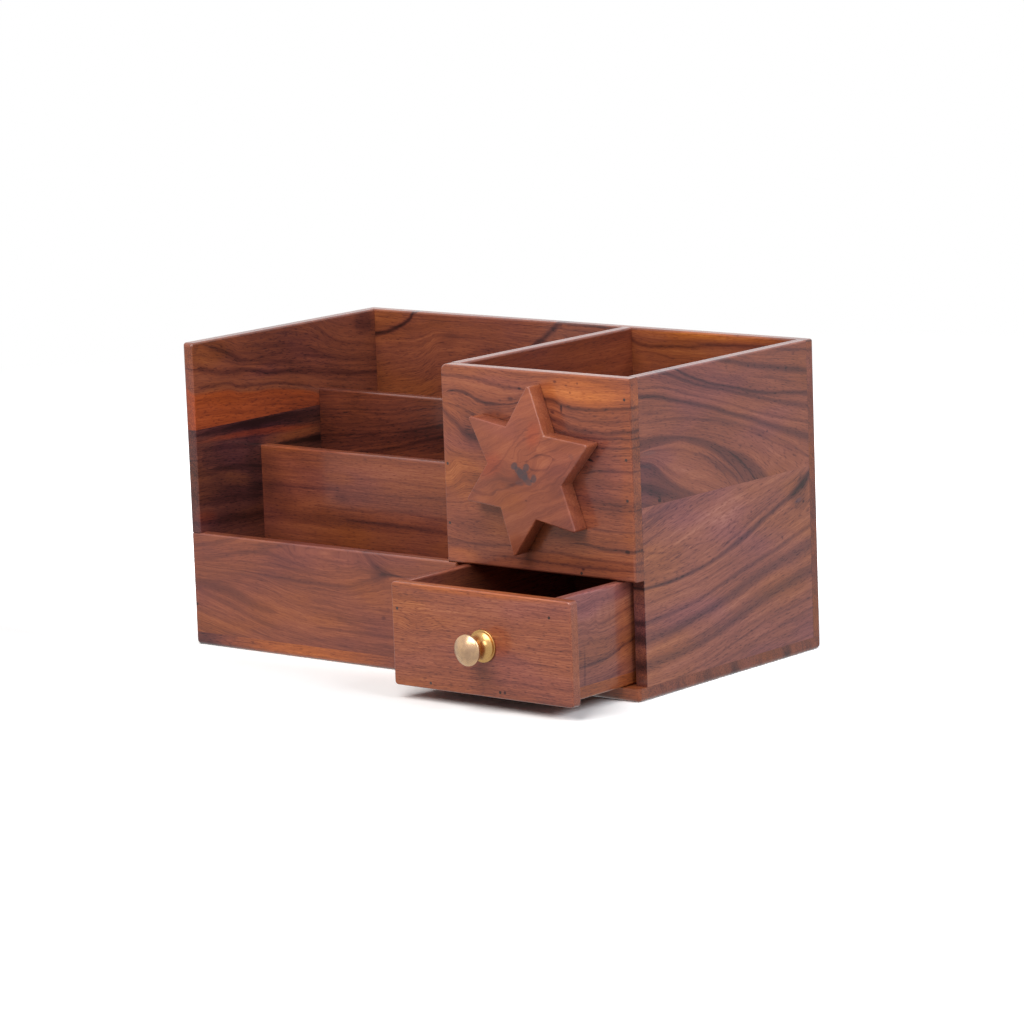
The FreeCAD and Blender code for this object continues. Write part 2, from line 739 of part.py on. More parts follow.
def make_knob_screw():
    """The slotted screw that holds the knob from inside the drawer."""
    seat = (KNOB_X, DRAWER_BODY_Y, KNOB_Z)
    shank_length = "(Sizes.drawer_front_thickness + Sizes.screw_reach)"
    shank = rod("screw_shank", seat, "Sizes.screw_radius", shank_length, FORWARD)
    head = rod("screw_head", seat, "Sizes.screw_head_radius", "Sizes.screw_head_height", BACKWARD)
    seat_y = value_of(DRAWER_BODY_Y)
    round_head = rounded(
        "screw_round_head",
        head,
        lambda edge: is_ring(edge, value_of("Sizes.screw_head_radius"))
        and edge.BoundBox.YMin > seat_y + MILLIMETRE_FUZZ,
        "Sizes.screw_head_round",
    )
    screw = DOCUMENT.addObject("Part::Fuse", "screw_whole")
    screw.Base = shank
    screw.Tool = round_head
    slot = DOCUMENT.addObject("Part::Box", "screw_slot")
    slot.setExpression("Length", "(2 * (Sizes.screw_head_radius + Sizes.overrun))")
    slot.setExpression("Width", "(Sizes.screw_slot_depth + Sizes.overrun)")
    slot.setExpression("Height", "Sizes.screw_slot_width")
    put(
        slot,
        (
            f"({KNOB_X} - Sizes.screw_head_radius - Sizes.overrun)",
            f"({DRAWER_BODY_Y} + Sizes.screw_head_height - Sizes.screw_slot_depth)",
            f"({KNOB_Z} - Sizes.screw_slot_width / 2)",
        ),
    )
    return less("knob_screw", screw, [slot])


def make_case():
    """Every piece of the fixed case."""
    front_pins = front_panel_pins()
    wall_pins = low_wall_pins()
    under_pins = base_pins()
    rear_pins = back_panel_pins()
    make_base(under_pins)
    make_back(under_pins, rear_pins)
    make_left_lower([under_pins, wall_pins, rear_pins])
    make_left_upper(rear_pins)
    make_right_lower([under_pins, rear_pins, front_pins])
    make_right_upper([front_pins, rear_pins])
    make_partition([front_pins, wall_pins, under_pins, rear_pins])
    make_floor(front_pins)
    make_front_panel(front_pins)
    make_low_wall(wall_pins)
    make_dividers()
    make_star()


def make_drawer():
    """Every piece that slides."""
    front_pins = drawer_front_pins()
    box_pins = drawer_box_pins()
    make_drawer_front(front_pins)
    make_drawer_sides([front_pins, box_pins])
    make_drawer_back(box_pins)
    make_drawer_bottom([front_pins, box_pins])
    make_knob()
    make_knob_screw()


PIECES = (
    "base_board",
    "back_panel",
    "left_side_lower_board",
    "left_side_upper_board",
    "right_side_lower_board",
    "right_side_upper_board",
    "pen_box_partition",
    "pen_box_floor",
    "pen_box_front_panel",
    "low_front_wall",
    "front_divider",
    "rear_divider",
    "star_ornament",
    "front_panel_pins",
    "low_wall_pins",
    "base_pins",
    "back_panel_pins",
    "drawer_front",
    "drawer_left_side",
    "drawer_right_side",
    "drawer_back",
    "drawer_bottom",
    "drawer_front_pins",
    "drawer_box_pins",
    "drawer_knob",
    "knob_screw",
)


def check_document():
    """Stop at any object that failed to recompute, and at any empty or invalid piece."""
    DOCUMENT.recompute()
    for item in DOCUMENT.Objects:
        if "Invalid" in item.State or "Error" in item.State:
            raise RuntimeError(f"{item.Name} did not recompute: {item.State}")
    for name in PIECES:
        shape = DOCUMENT.getObject(name).Shape
        if shape.isNull() or not shape.isValid() or not shape.Solids:
            raise RuntimeError(f"{name} has no valid solid")


def write_pieces():
    """Write each piece to its own file."""
    os.makedirs("parts", exist_ok=True)
    for name in PIECES:
        piece = DOCUMENT.getObject(name)
        piece.Label = name
        solids = piece.Shape.Solids
        volume = sum(solid.Volume for solid in solids)
        print(f"{name}: {len(solids)} solid(s), {volume:.1f} mm3")
        piece.Shape.exportStep(f"parts/{name}.step")


make_case()
make_drawer()
check_document()
write_pieces()
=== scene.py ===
"""Dresses the pen stand with a drawer for a studio picture.

The boards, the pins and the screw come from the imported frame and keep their
places. This script gives each board its own cut of wood, makes the star and the
brass knob with finer shapes, and sets the floor, the lamps and the camera.

Figure in the wood is given in millimetres: along a board from the case's left
end or front, and across it from the floor or the case's front.
"""

import logging
import math
from collections.abc import Iterable, Sequence
from dataclasses import dataclass, field
from enum import Enum

import bmesh
import bpy
from mathutils import Matrix, Vector

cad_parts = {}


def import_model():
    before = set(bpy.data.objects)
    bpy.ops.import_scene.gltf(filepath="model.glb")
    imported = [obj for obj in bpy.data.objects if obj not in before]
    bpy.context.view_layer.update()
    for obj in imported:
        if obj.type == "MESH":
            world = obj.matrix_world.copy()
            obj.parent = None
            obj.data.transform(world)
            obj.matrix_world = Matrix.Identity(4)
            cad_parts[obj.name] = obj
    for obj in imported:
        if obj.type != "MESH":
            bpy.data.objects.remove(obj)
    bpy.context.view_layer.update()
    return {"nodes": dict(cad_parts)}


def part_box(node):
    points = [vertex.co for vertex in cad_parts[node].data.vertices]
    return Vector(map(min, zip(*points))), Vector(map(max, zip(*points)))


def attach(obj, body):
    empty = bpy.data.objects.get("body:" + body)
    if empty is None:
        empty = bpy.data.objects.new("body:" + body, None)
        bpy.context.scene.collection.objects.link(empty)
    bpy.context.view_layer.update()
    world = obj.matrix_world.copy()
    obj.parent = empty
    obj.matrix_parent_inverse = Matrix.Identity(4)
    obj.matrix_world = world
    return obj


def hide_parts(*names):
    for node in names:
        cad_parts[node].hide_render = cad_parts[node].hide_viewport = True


LOG = logging.getLogger("pen_stand")
# A millimetre in metres, a gap in metres that counts as none, a bend in degrees that does
MM = 0.001
TINY = 1e-6
FLAT_ANGLE = 0.5
CASE_CORNER = (114.5, 59.0, 0.0)
KNOB_CENTRE = (186.35, 25.05)

Colour = tuple[float, float, float]
Size = tuple[float, float, float]
Stroke = tuple[float, float, float]
Point = tuple[float, float]
Fade = tuple[float, float]


class Wire:
    """One output of a shader node, used in sums as a number is."""

    def __init__(self, graph: "Graph", socket: bpy.types.NodeSocket) -> None:
        """Keeps the socket and the graph that it belongs to."""
        self.graph = graph
        self.socket = socket

    def sum(self, operation: str, *terms: "Wire | float") -> "Wire":
        """Adds a Math node.

        Args:
            operation: The node's operation, such as ADD.
            terms: The values of its sockets, in order.

        Returns:
            The node's result.
        """
        return self.graph.node("ShaderNodeMath", {"operation": operation}, dict(enumerate(terms)))

    def __add__(self, other: "Wire | float") -> "Wire":
        """The sum of both."""
        return self.sum("ADD", self, other)

    def __sub__(self, other: "Wire | float") -> "Wire":
        """This less the other."""
        return self.sum("SUBTRACT", self, other)

    def __rsub__(self, other: float) -> "Wire":
        """The other less this."""
        return self.sum("SUBTRACT", other, self)

    def __mul__(self, other: "Wire | float") -> "Wire":
        """Both multiplied."""
        return self.sum("MULTIPLY", self, other)

    def __truediv__(self, other: "Wire | float") -> "Wire":
        """This divided by the other."""
        return self.sum("DIVIDE", self, other)

    def __abs__(self) -> "Wire":
        """This without its sign."""
        return self.sum("ABSOLUTE", self)

    __radd__ = __add__
    __rmul__ = __mul__

    def root(self) -> "Wire":
        """The square root of this."""
        return self.sum("SQRT", self)

    def least(self, other: "Wire | float") -> "Wire":
        """The smaller of both."""
        return self.sum("MINIMUM", self, other)

    def most(self, other: "Wire | float") -> "Wire":
        """The larger of both."""
        return self.sum("MAXIMUM", self, other)


class Graph:
    """The shader nodes of one finish or of the world."""

    def __init__(self, tree: bpy.types.NodeTree) -> None:
        """Starts from an empty tree."""
        self.tree = tree
        self.tree.nodes.clear()

    def add(
        self,
        kind: str,
        settings: dict[str, object] | None = None,
        values: dict[int | str, object] | None = None,
    ) -> bpy.types.Node:
        """Adds a node.

        Args:
            kind: The node's type.
            settings: Its own settings; stops fill a colour ramp and points a curve.
            values: Numbers, colours or wires for its sockets, by place or name.

        Returns:
            The node.
        """
        made = self.tree.nodes.new(kind)
        for name, setting in (settings or {}).items():
            if name == "stops":
                self._fill_ramp(made.color_ramp, setting)
            elif name == "points":
                self._fill_curve(made.mapping, setting)
            else:
                setattr(made, name, setting)
        for place, value in (values or {}).items():
            if isinstance(value, Wire):
                self.tree.links.new(value.socket, made.inputs[place])
            else:
                made.inputs[place].default_value = value
        return made

    def node(
        self,
        kind: str,
        settings: dict[str, object] | None = None,
        values: dict[int | str, object] | None = None,
        output: int | str = 0,
    ) -> Wire:
        """Adds a node as add does, and returns one of its outputs."""
        return Wire(self, self.add(kind, settings, values).outputs[output])

    @staticmethod
    def _fill_ramp(ramp: bpy.types.ColorRamp, stops: Sequence[tuple[float, Colour]]) -> None:
        """Gives a colour ramp its stops.

        Args:
            ramp: The ramp.
            stops: Places from 0 to 1 with their colours, from the lowest up.
        """
        while len(ramp.elements) < len(stops):
            ramp.elements.new(1.0)
        for element, (place, colour) in zip(ramp.elements, stops):
            element.position = place
            element.color = (*colour, 1.0)

    @staticmethod
    def _fill_curve(mapping: bpy.types.CurveMapping, points: Sequence[Point]) -> None:
        """Gives a curve its points.

        Args:
            mapping: The curve's own settings.
            points: Its points, whose numbers all lie between 0 and 1.
        """
        mapping.extend = "HORIZONTAL"
        drawn = mapping.curves[0].points
        while len(drawn) < len(points):
            drawn.new(1.0, 1.0)
        for place, (x, y) in zip(drawn, points):
            place.location = (x, y)
            place.handle_type = "AUTO_CLAMPED"
        mapping.update()

    def parts(self, vector: Wire) -> tuple[Wire, Wire, Wire]:
        """The three numbers of a vector."""
        split = self.add("ShaderNodeSeparateXYZ", values={0: vector})
        return Wire(self, split.outputs[0]), Wire(self, split.outputs[1]), Wire(self, split.outputs[2])

    def joined(self, x: Wire | float, y: Wire | float, z: Wire | float) -> Wire:
        """Three numbers as a vector."""
        return self.node("ShaderNodeCombineXYZ", values={0: x, 1: y, 2: z})

    def stretched(self, vector: Wire, scale: Size, start: Size = (0.0, 0.0, 0.0)) -> Wire:
        """A vector times a scale, plus a start."""
        values = {0: vector, 1: scale, 2: start}
        return self.node("ShaderNodeVectorMath", {"operation": "MULTIPLY_ADD"}, values)

    def noise(self, place: Wire, detail: float = 2.0, roughness: float = 0.5) -> Wire:
        """Soft noise around 0 at a place, mostly between -0.25 and 0.25."""
        values = {"Vector": place, "Scale": 1.0, "Detail": detail, "Roughness": roughness}
        return self.node("ShaderNodeTexNoise", values=values) - 0.5

    def faded(self, value: Wire, start: float, end: float, low: float = 0.0, high: float = 1.0) -> Wire:
        """A number that goes smoothly from low at start to high at end."""
        values = {0: value, 1: start, 2: end, 3: low, 4: high}
        return self.node("ShaderNodeMapRange", {"interpolation_type": "SMOOTHSTEP"}, values)

    def curve(self, share: Wire, points: Sequence[Point]) -> Wire | float:
        """A smooth line through points.

        Args:
            share: How far along the line to look, as a share of its length.
            points: Shares of the length, each with the line's value there.

        Returns:
            The line's value, which is a plain number if it is the same everywhere.
        """
        low = min(value for _, value in points)
        high = max(value for _, value in points)
        if high - low < TINY:
            return low
        scaled = [(place, (value - low) / (high - low)) for place, value in points]
        return self.node("ShaderNodeFloatCurve", {"points": scaled}, {1: share}) * (high - low) + low

    def tinted(
        self, share: Wire | float, plain: Wire | Colour, other: Wire | Colour, way: str = "MIX"
    ) -> Wire:
        """Two colours mixed.

        Args:
            share: How much of the other colour there is.
            plain: The colour where the share is 0.
            other: The colour where it is 1, or what the plain one is multiplied by.
            way: The mix's blend type.

        Returns:
            The mixed colour.
        """
        values: dict[int | str, object] = {0: share}
        for place, colour in ((6, plain), (7, other)):
            values[place] = colour if isinstance(colour, Wire) else (*colour, 1.0)
        return self.node("ShaderNodeMix", {"data_type": "RGBA", "blend_type": way}, values, 2)

    def place(self) -> Wire:
        """Where a point is, in millimetres from the case's front left foot."""
        found = self.node("ShaderNodeTexCoord", output="Object")
        return self.stretched(found, (1 / MM,) * 3, CASE_CORNER)

    def bumped(self, height: Wire, strength: float = 1.0) -> Wire:
        """A normal that follows a height in millimetres."""
        return self.node("ShaderNodeBump", values={"Strength": strength, "Distance": MM, "Height": height})

    def ended(self, shader: Wire, kind: str = "ShaderNodeOutputMaterial") -> None:
        """Links a shader to the graph's output."""
        self.add(kind, values={"Surface": shader})


def new_material(name: str) -> tuple[bpy.types.Material, Graph]:
    """Starts a finish.

    Args:
        name: The finish's name.

    Returns:
        The material and its empty graph.
    """
    material = bpy.data.materials.new(name)
    material.use_nodes = True
    return material, Graph(material.node_tree)


def dress(piece: bpy.types.Object, material: bpy.types.Material) -> None:
    """Gives every slot of a piece the same material.

    Args:
        piece: The piece.
        material: Its finish.
    """
    if not piece.data.materials:
        piece.data.materials.append(material)
    for slot in piece.material_slots:
        slot.material = material


class Grain(Enum):
    """How a board lies: the axes along its grain, across it and through the board."""

    UPRIGHT_LENGTHWISE = "XZY"
    UPRIGHT_FRONT_TO_BACK = "YZX"
    FLAT_LENGTHWISE = "XYZ"
    FLAT_FRONT_TO_BACK = "YXZ"


class Mark(Enum):
    """What a spot or a zone does to the wood."""

    SWELL = "bends the grain round it"
    DARK = "darkens it"
    LIGHT = "lightens it"
    GOLDEN = "turns it to sapwood"
    WARM = "turns it warmer"
    GREY = "leaves grey filler or a dead knot"
    RED = "reddens it"


@dataclass(frozen=True)
class Line:
    """A line of growth that runs along a board.

    Args:
        strokes: Along, across and half width in millimetres, from one end on.
        dark: How much darker the wood is on it.
        level: Where it would lie in straight wood, if the grain follows it.
    """

    strokes: tuple[Stroke, ...]
    dark: float = 0.0
    level: float | None = None


def guide(level: float, *points: Point) -> Line:
    """A line that only guides the grain."""
    return Line(tuple((along, across, 0.0) for along, across in points), level=level)


def vein(dark: float, *strokes: Stroke, level: float | None = None) -> Line:
    """A line that is drawn, and guides the grain where it has a level."""
    return Line(strokes, dark, level)


@dataclass(frozen=True)
class Spot:
    """A round or oval place in the wood.

    Args:
        mark: What it does to the wood.
        centre: Its centre along and across, in millimetres.
        radii: Its radii along and across, in millimetres.
        strength: How strong it is; a swell bends the grain by so many millimetres.
        tilt: How far it is turned, in degrees.
        core: How far in from its rim it is full, as a share of the radius.
    """

    mark: Mark
    centre: Point
    radii: Point
    strength: float
    tilt: float = 0.0
    core: float = 0.7


@dataclass(frozen=True)
class Zone:
    """A stretch of wood between two levels of growth.

    Args:
        mark: What it does to the wood.
        low: Its lower level, in millimetres.
        high: Its upper level.
        strength: How strong it is.
        edge: How far it fades to each side of a level.
    """

    mark: Mark
    low: float
    high: float
    strength: float
    edge: float = 0.6


def marks(mark: Mark, *rows: tuple[float, ...]) -> tuple[Spot, ...]:
    """Spots of one kind, each row with its centre, radii, strength and any tilt and core."""
    return tuple(Spot(mark, row[:2], row[2:4], *row[4:]) for row in rows)


@dataclass(frozen=True)
class WoodCut:
    """One board's own cut of varnished wood.

    Args:
        name: The finish's name.
        grain: How the board lies.
        seed: Moves the noise, so that no two boards are alike.
        lines: Lines of growth that are drawn or that guide the grain.
        spots: Knots, patches and flecks.
        zones: Bands of sapwood or dark heart.
        tone: Lighter or darker than the rest.
        wander: How far the grain strays by itself, in millimetres.
        veins: How strong its own dark veins are.
        bands: How strong its growth bands are.
        pores: How dark its open pores are.
        fibres: How strongly its fibres show.
        edge_wear_and_highlight: How much its upper edges are lightened, as wear and a painted highlight.
        ends: How much paler its sawn ends are.
        carved: Whether its sawn sides and lightened corners follow its shape, not its box.
        turn: How far the grain is turned on the board's face, in degrees.
        lean: How much the growth shifts through the board, per millimetre.
        tint: What its colour is multiplied by.
    """

    name: str
    grain: Grain
    seed: float
    lines: tuple[Line, ...] = ()
    spots: tuple[Spot, ...] = ()
    zones: tuple[Zone, ...] = ()
    tone: float = 0.0
    wander: float = 1.0
    veins: float = 0.14
    bands: float = 0.45
    pores: float = 0.26
    fibres: float = 1.0
    edge_wear_and_highlight: float = 1.0
    ends: float = -0.06
    carved: bool = False
    turn: float = 0.0
    lean: float = 0.35
    tint: Colour = (1.0, 1.0, 1.0)


@dataclass(frozen=True)
class Varnish:
    """The colours that all the wood shares, from dark veins to pale wood, and its gloss."""

    stops: tuple[tuple[float, Colour], ...] = (
        (0.00, (0.026, 0.008, 0.007)),
        (0.18, (0.080, 0.021, 0.017)),
        (0.32, (0.142, 0.038, 0.025)),
        (0.50, (0.225, 0.060, 0.032)),
        (0.68, (0.310, 0.088, 0.042)),
        (0.85, (0.400, 0.130, 0.060)),
        (1.00, (0.500, 0.190, 0.090)),
    )
    golden: Colour = (1.45, 1.30, 0.60)
    red: Colour = (1.30, 0.75, 0.50)
    grey: Colour = (0.078, 0.048, 0.052)
    warm: Colour = (1.06, 1.04, 0.75)
    mauve: Colour = (0.92, 0.92, 1.25)
    # Lightens the upper edges, as wear and a painted highlight.
    wear_and_highlight: Colour = (1.25, 1.20, 1.18)
    roughness: float = 0.34
    specular: float = 0.25
    coat: float = 0.35
    edge_coat: float = 0.6
    coat_roughness: float = 0.12


class Texture(Enum):
    """The kinds of noise in the wood.

    Each has the size of its grains along, across and through the board in
    millimetres, its detail, and the strength of its finer layers.
    """

    FIBRES = ((11, 0.42, 0.42), 3.0, 0.6)
    STREAKS = ((45, 1.0, 1.0), 2.0, 0.5)
    PORES = ((2.6, 0.30, 0.30), 1.0, 0.5)
    BANDS = ((150, 5.0, 9), 2.0, 0.55)
    BROAD_BANDS = ((60, 18, 30), 1.0, 0.5)
    OWN_VEINS = ((170, 9, 15), 1.0, 0.5)
    VEIN_PLACES = ((50, 12, 20), 1.0, 0.5)
    WIDE_WANDER = ((60, 22, 30), 1.0, 0.5)
    FINE_WANDER = ((8, 2.5, 4), 2.0, 0.5)
    CAST = ((60, 22, 40), 2.0, 0.5)
    SPECKLE = ((0.6, 0.6, 0.6), 2.0, 0.5)
    WEAR = ((5, 5, 5), 3.0, 0.5)
    SHEEN = ((14, 8, 14), 2.0, 0.5)


class WoodPainter:
    """Builds the finish of one board from its cut.

    A fade is the value where a thing is unseen and the value where it is full.
    Heights and widths are in millimetres, and the other numbers are shares.
    """

    SEED_SHIFT: Size = (7.3, 3.1, 5.7)
    WIDE_WANDER = 3.5
    FINE_WANDER = 1.3
    SPOT_DEPTH = 1e5

    VEIN_END = 3
    VEIN_TAPER = 2
    VEIN_LEAST = 0.02
    VEIN_FADE: Fade = (1.8, 0.0)
    OWN_VEIN_FADE: Fade = (0.05, 0.0)
    VEIN_PLACE_FADE: Fade = (-0.02, 0.14)
    FIBRE_BREAKS = 1.6
    STREAK_BREAKS = 1.2

    MIDDLE_TONE = 0.56
    BROAD_TONE = 0.4
    STREAK_TONE = 0.34
    FIBRE_TONE = 0.62
    WARM_FADE: Fade = (0.0, 0.2)
    MAUVE_FADE: Fade = (0.0, -0.2)

    PORE_FADE: Fade = (0.03, 0.20)
    PORE_TONE = 0.8
    PORE_DEPTH = 0.018
    PORE_DULLNESS = 0.08
    FIBRE_HEIGHT = 0.010
    SHEEN_CHANGE = 0.16
    RELIEF = 0.7

    END_FADE: Fade = (0.35, 0.05)
    SAWN_FADE: Fade = (0.6, 0.3)
    SPECKLE_TONE = 0.5
    SPECKLE_HEIGHT = 0.03
    WEAR_LEAST = 0.45
    WEAR_HEIGHT = 0.05
    EDGE_FADE: Fade = (2.8, 0.4)
    UPWARD_FADE: Fade = (0.05, 0.7)
    OFF_FACE_FADE: Fade = (0.97, 0.85)
    OFF_SIDE_FADE: Fade = (0.15, 0.4)

    def __init__(self, cut: WoodCut, varnish: Varnish, low: Vector, high: Vector) -> None:
        """Works out where each point lies in the wood.

        Args:
            cut: The board's cut of wood.
            varnish: The colours and the gloss.
            low: The board's lowest corner, in metres.
            high: Its highest corner.
        """
        self.cut = cut
        self.varnish = varnish
        self.material, self.graph = new_material(cut.name)
        axes = ["XYZ".index(letter) for letter in cut.grain.value]
        self.middle = [(low[axis] + high[axis]) / 2 / MM + CASE_CORNER[axis] for axis in axes]
        self.half = [(high[axis] - low[axis]) / 2 / MM for axis in axes]
        split = self.graph.parts(self.graph.place())
        self.board = self.graph.joined(*(split[axis] for axis in axes))
        self.warped = self._warped()
        self.along, self.across, self.through = self.graph.parts(self.warped)
        self.share = (self.along - (self.middle[0] - self.half[0])) * (0.5 / self.half[0])
        self.flow = self._flow()
        self.growth = self.graph.joined(self.along, self.flow, self.through)
        self.fibres = self._figure(Texture.FIBRES)
        self.streaks = self._figure(Texture.STREAKS)

    def painted(self) -> bpy.types.Material:
        """Joins the wood's colour, gloss and relief.

        Returns:
            The board's material.
        """
        graph, cut, varnish = self.graph, self.cut, self.varnish
        pores = graph.faded(self._figure(Texture.PORES), *self.PORE_FADE)
        ends = self._ends()
        speckle = self._rough(Texture.SPECKLE)
        wear = self._rough(Texture.WEAR)
        tone = self._tone() - pores * (self.streaks + self.PORE_TONE) * cut.pores
        tone = tone + ends * (speckle * self.SPECKLE_TONE + cut.ends)
        colour = graph.node("ShaderNodeValToRGB", {"stops": varnish.stops}, {0: tone})
        colour = self._coloured(colour)
        edges = self._edges()
        # The upper edges are lightened, as wear and a painted highlight.
        wear_and_highlight = edges * (wear + self.WEAR_LEAST)
        colour = graph.tinted(wear_and_highlight, colour, varnish.wear_and_highlight, "MULTIPLY")
        height = self.fibres * self.FIBRE_HEIGHT - pores * self.PORE_DEPTH
        height = height + speckle * ends * self.SPECKLE_HEIGHT + wear * self.WEAR_HEIGHT
        gloss = self._rough(Texture.SHEEN) * self.SHEEN_CHANGE + pores * self.PORE_DULLNESS
        values = {
            "Base Color": colour,
            "Roughness": gloss + varnish.roughness,
            "Specular IOR Level": varnish.specular,
            "Normal": graph.bumped(height, self.RELIEF),
            "Coat Weight": edges * varnish.edge_coat + varnish.coat,
            "Coat Roughness": varnish.coat_roughness,
        }
        graph.ended(graph.node("ShaderNodeBsdfPrincipled", values=values))
        return self.material

    def _noise(self, place: Wire, kind: Texture) -> Wire:
        """Noise of one kind.

        Args:
            place: Where in the wood to look, in millimetres.
            kind: The noise's grains and strength.

        Returns:
            A number around 0, which differs from board to board.
        """
        size, detail, roughness = kind.value
        start = tuple(self.cut.seed * shift for shift in self.SEED_SHIFT)
        scaled = self.graph.stretched(place, tuple(1 / length for length in size), start)
        return self.graph.noise(scaled, detail, roughness)

    def _figure(self, kind: Texture) -> Wire:
        """Noise that follows the grain."""
        return self._noise(self.growth, kind)

    def _rough(self, kind: Texture) -> Wire:
        """Noise that doesn't follow the grain."""
        return self._noise(self.board, kind)

    def _warped(self) -> Wire:
        """Moves the point a little, so that no line of the figure is ruled.

        Returns:
            The moved point.
        """
        wide = self._rough(Texture.WIDE_WANDER) * (self.cut.wander * self.WIDE_WANDER)
        fine = self._rough(Texture.FINE_WANDER) * (self.cut.wander * self.FINE_WANDER)
        shift = self.graph.joined(wide, wide + fine, 0.0)
        return self.graph.node("ShaderNodeVectorMath", {"operation": "ADD"}, {0: self.board, 1: shift})

    def _flow(self) -> Wire:
        """Finds the level of growth at the point.

        Returns:
            The level, which runs evenly between the guide lines.
        """
        lines = [line for line in self.cut.lines if line.level is not None]
        guides = sorted(lines, key=lambda line: line.level)
        flow = self.across
        if guides:
            places = [self._middle_of(line) for line in guides]
            below = (self.across - places[0]).least(0.0)
            above = (self.across - places[-1]).most(0.0)
            flow = below + above + guides[0].level
            for lower, upper, start, end in zip(guides, guides[1:], places, places[1:]):
                rise = {0: self.across, 1: start, 2: end, 3: 0.0, 4: upper.level - lower.level}
                flow = flow + self.graph.node("ShaderNodeMapRange", values=rise)
        if self.cut.turn:
            turn = math.radians(self.cut.turn)
            sideways = (self.along - self.middle[0]) * math.sin(turn)
            flow = (flow - self.middle[1]) * math.cos(turn) - sideways + self.middle[1]
        flow = flow + (self.through - self.middle[2]) * self.cut.lean
        return flow + self._spotted(Mark.SWELL)

    def _middle_of(self, line: Line) -> Wire | float:
        """How far across the board a line runs."""
        points = self._shares((along, across) for along, across, _ in line.strokes)
        return self.graph.curve(self.share, points)

    def _shares(self, points: Iterable[Point]) -> list[Point]:
        """Points whose places along the board are made shares of its length."""
        start = self.middle[0] - self.half[0]
        return [((along - start) / (2 * self.half[0]), value) for along, value in points]

    def _drawn(self, line: Line) -> Wire:
        """Draws one line, which tapers off where it ends within the board.

        Args:
            line: The line.

        Returns:
            How much it darkens the point.
        """
        halves = [(along, half) for along, _, half in line.strokes]
        start = self.middle[0] - self.half[0] + self.VEIN_END
        end = self.middle[0] + self.half[0] - self.VEIN_END
        before = [(halves[0][0] - self.VEIN_TAPER, 0.0)] if halves[0][0] > start else []
        after = [(halves[-1][0] + self.VEIN_TAPER, 0.0)] if halves[-1][0] < end else []
        width = self.graph.curve(self.share, self._shares([*before, *halves, *after]))
        gap = abs(self.across - self._middle_of(line)) / (width + self.VEIN_LEAST)
        return self.graph.faded(gap, *self.VEIN_FADE) * line.dark

    def _spotted(self, mark: Mark) -> Wire | float:
        """Adds up the spots and zones of one kind.

        Args:
            mark: The kind.

        Returns:
            How strongly they show at the point.
        """
        total: Wire | float = 0.0
        for spot in (spot for spot in self.cut.spots if spot.mark is mark):
            values = {
                "Vector": self.warped,
                "Location": (*spot.centre, 0.0),
                "Rotation": (0.0, 0.0, math.radians(spot.tilt)),
                "Scale": (*spot.radii, self.SPOT_DEPTH),
            }
            turned = self.graph.node("ShaderNodeMapping", {"vector_type": "TEXTURE"}, values)
            ball = self.graph.node("ShaderNodeTexGradient", {"gradient_type": "SPHERICAL"}, {0: turned}, 1)
            total = self.graph.faded(ball, 0.0, spot.core, 0.0, spot.strength) + total
        for zone in (zone for zone in self.cut.zones if zone.mark is mark):
            above = self.graph.faded(self.flow, zone.low - zone.edge, zone.low + zone.edge)
            below = self.graph.faded(self.flow, zone.high + zone.edge, zone.high - zone.edge)
            total = above * below * zone.strength + total
        return total

    def _tone(self) -> Wire:
        """Joins the bands, fibres, veins and patches of the wood.

        Returns:
            How dark or pale the wood is at the point, from 0 to 1.
        """
        cut = self.cut
        bands = self._figure(Texture.BANDS) * cut.bands
        broad = self._figure(Texture.BROAD_BANDS) * self.BROAD_TONE
        own = self.graph.faded(abs(self._figure(Texture.OWN_VEINS)), *self.OWN_VEIN_FADE)
        where = self.graph.faded(self._figure(Texture.VEIN_PLACES), *self.VEIN_PLACE_FADE)
        drawn: Wire | float = own * where * cut.veins
        for line in cut.lines:
            if line.dark:
                drawn = self._drawn(line) + drawn
        drawn = drawn + self._spotted(Mark.DARK)
        drawn = drawn * (self.fibres * self.FIBRE_BREAKS + self.streaks * self.STREAK_BREAKS + 1.0)
        tone = bands + broad
        tone = tone + (self.streaks * self.STREAK_TONE + self.fibres * self.FIBRE_TONE) * cut.fibres
        tone = tone + (self.MIDDLE_TONE + cut.tone)
        return tone - drawn + self._spotted(Mark.LIGHT)

    def _coloured(self, colour: Wire) -> Wire:
        """Tints the wood where it is warm, mauve, red or grey, and on its sapwood.

        Args:
            colour: The wood's colour from its tone alone.

        Returns:
            The tinted colour.
        """
        graph, varnish = self.graph, self.varnish
        cast = self._rough(Texture.CAST)
        warm = graph.faded(cast, *self.WARM_FADE) + self._spotted(Mark.WARM)
        colour = graph.tinted(warm, colour, varnish.warm, "MULTIPLY")
        colour = graph.tinted(graph.faded(cast, *self.MAUVE_FADE), colour, varnish.mauve, "MULTIPLY")
        colour = graph.tinted(self._spotted(Mark.GOLDEN), colour, varnish.golden, "MULTIPLY")
        colour = graph.tinted(self._spotted(Mark.RED), colour, varnish.red, "MULTIPLY")
        colour = graph.tinted(self._spotted(Mark.GREY), colour, varnish.grey)
        return graph.tinted(1.0, colour, self.cut.tint, "MULTIPLY")

    def _gaps(self) -> list[Wire]:
        """How far inside the board's ends, edges and faces the point is."""
        places = zip(self.graph.parts(self.board), self.middle, self.half)
        return [half - abs(part - middle) for part, middle, half in places]

    def _facing(self) -> Wire:
        """The way the surface looks."""
        return self.graph.node("ShaderNodeNewGeometry", output="Normal")

    def _slope(self) -> Wire:
        """How much a carved face looks to the front or back."""
        return abs(self.graph.parts(self._facing())[1])

    def _ends(self) -> Wire:
        """Finds where the grain is cut across.

        Returns:
            1 on the board's two ends, or on the sides of a carved piece.
        """
        if self.cut.carved:
            return self.graph.faded(self._slope(), *self.SAWN_FADE)
        return self.graph.faded(self._gaps()[0], *self.END_FADE)

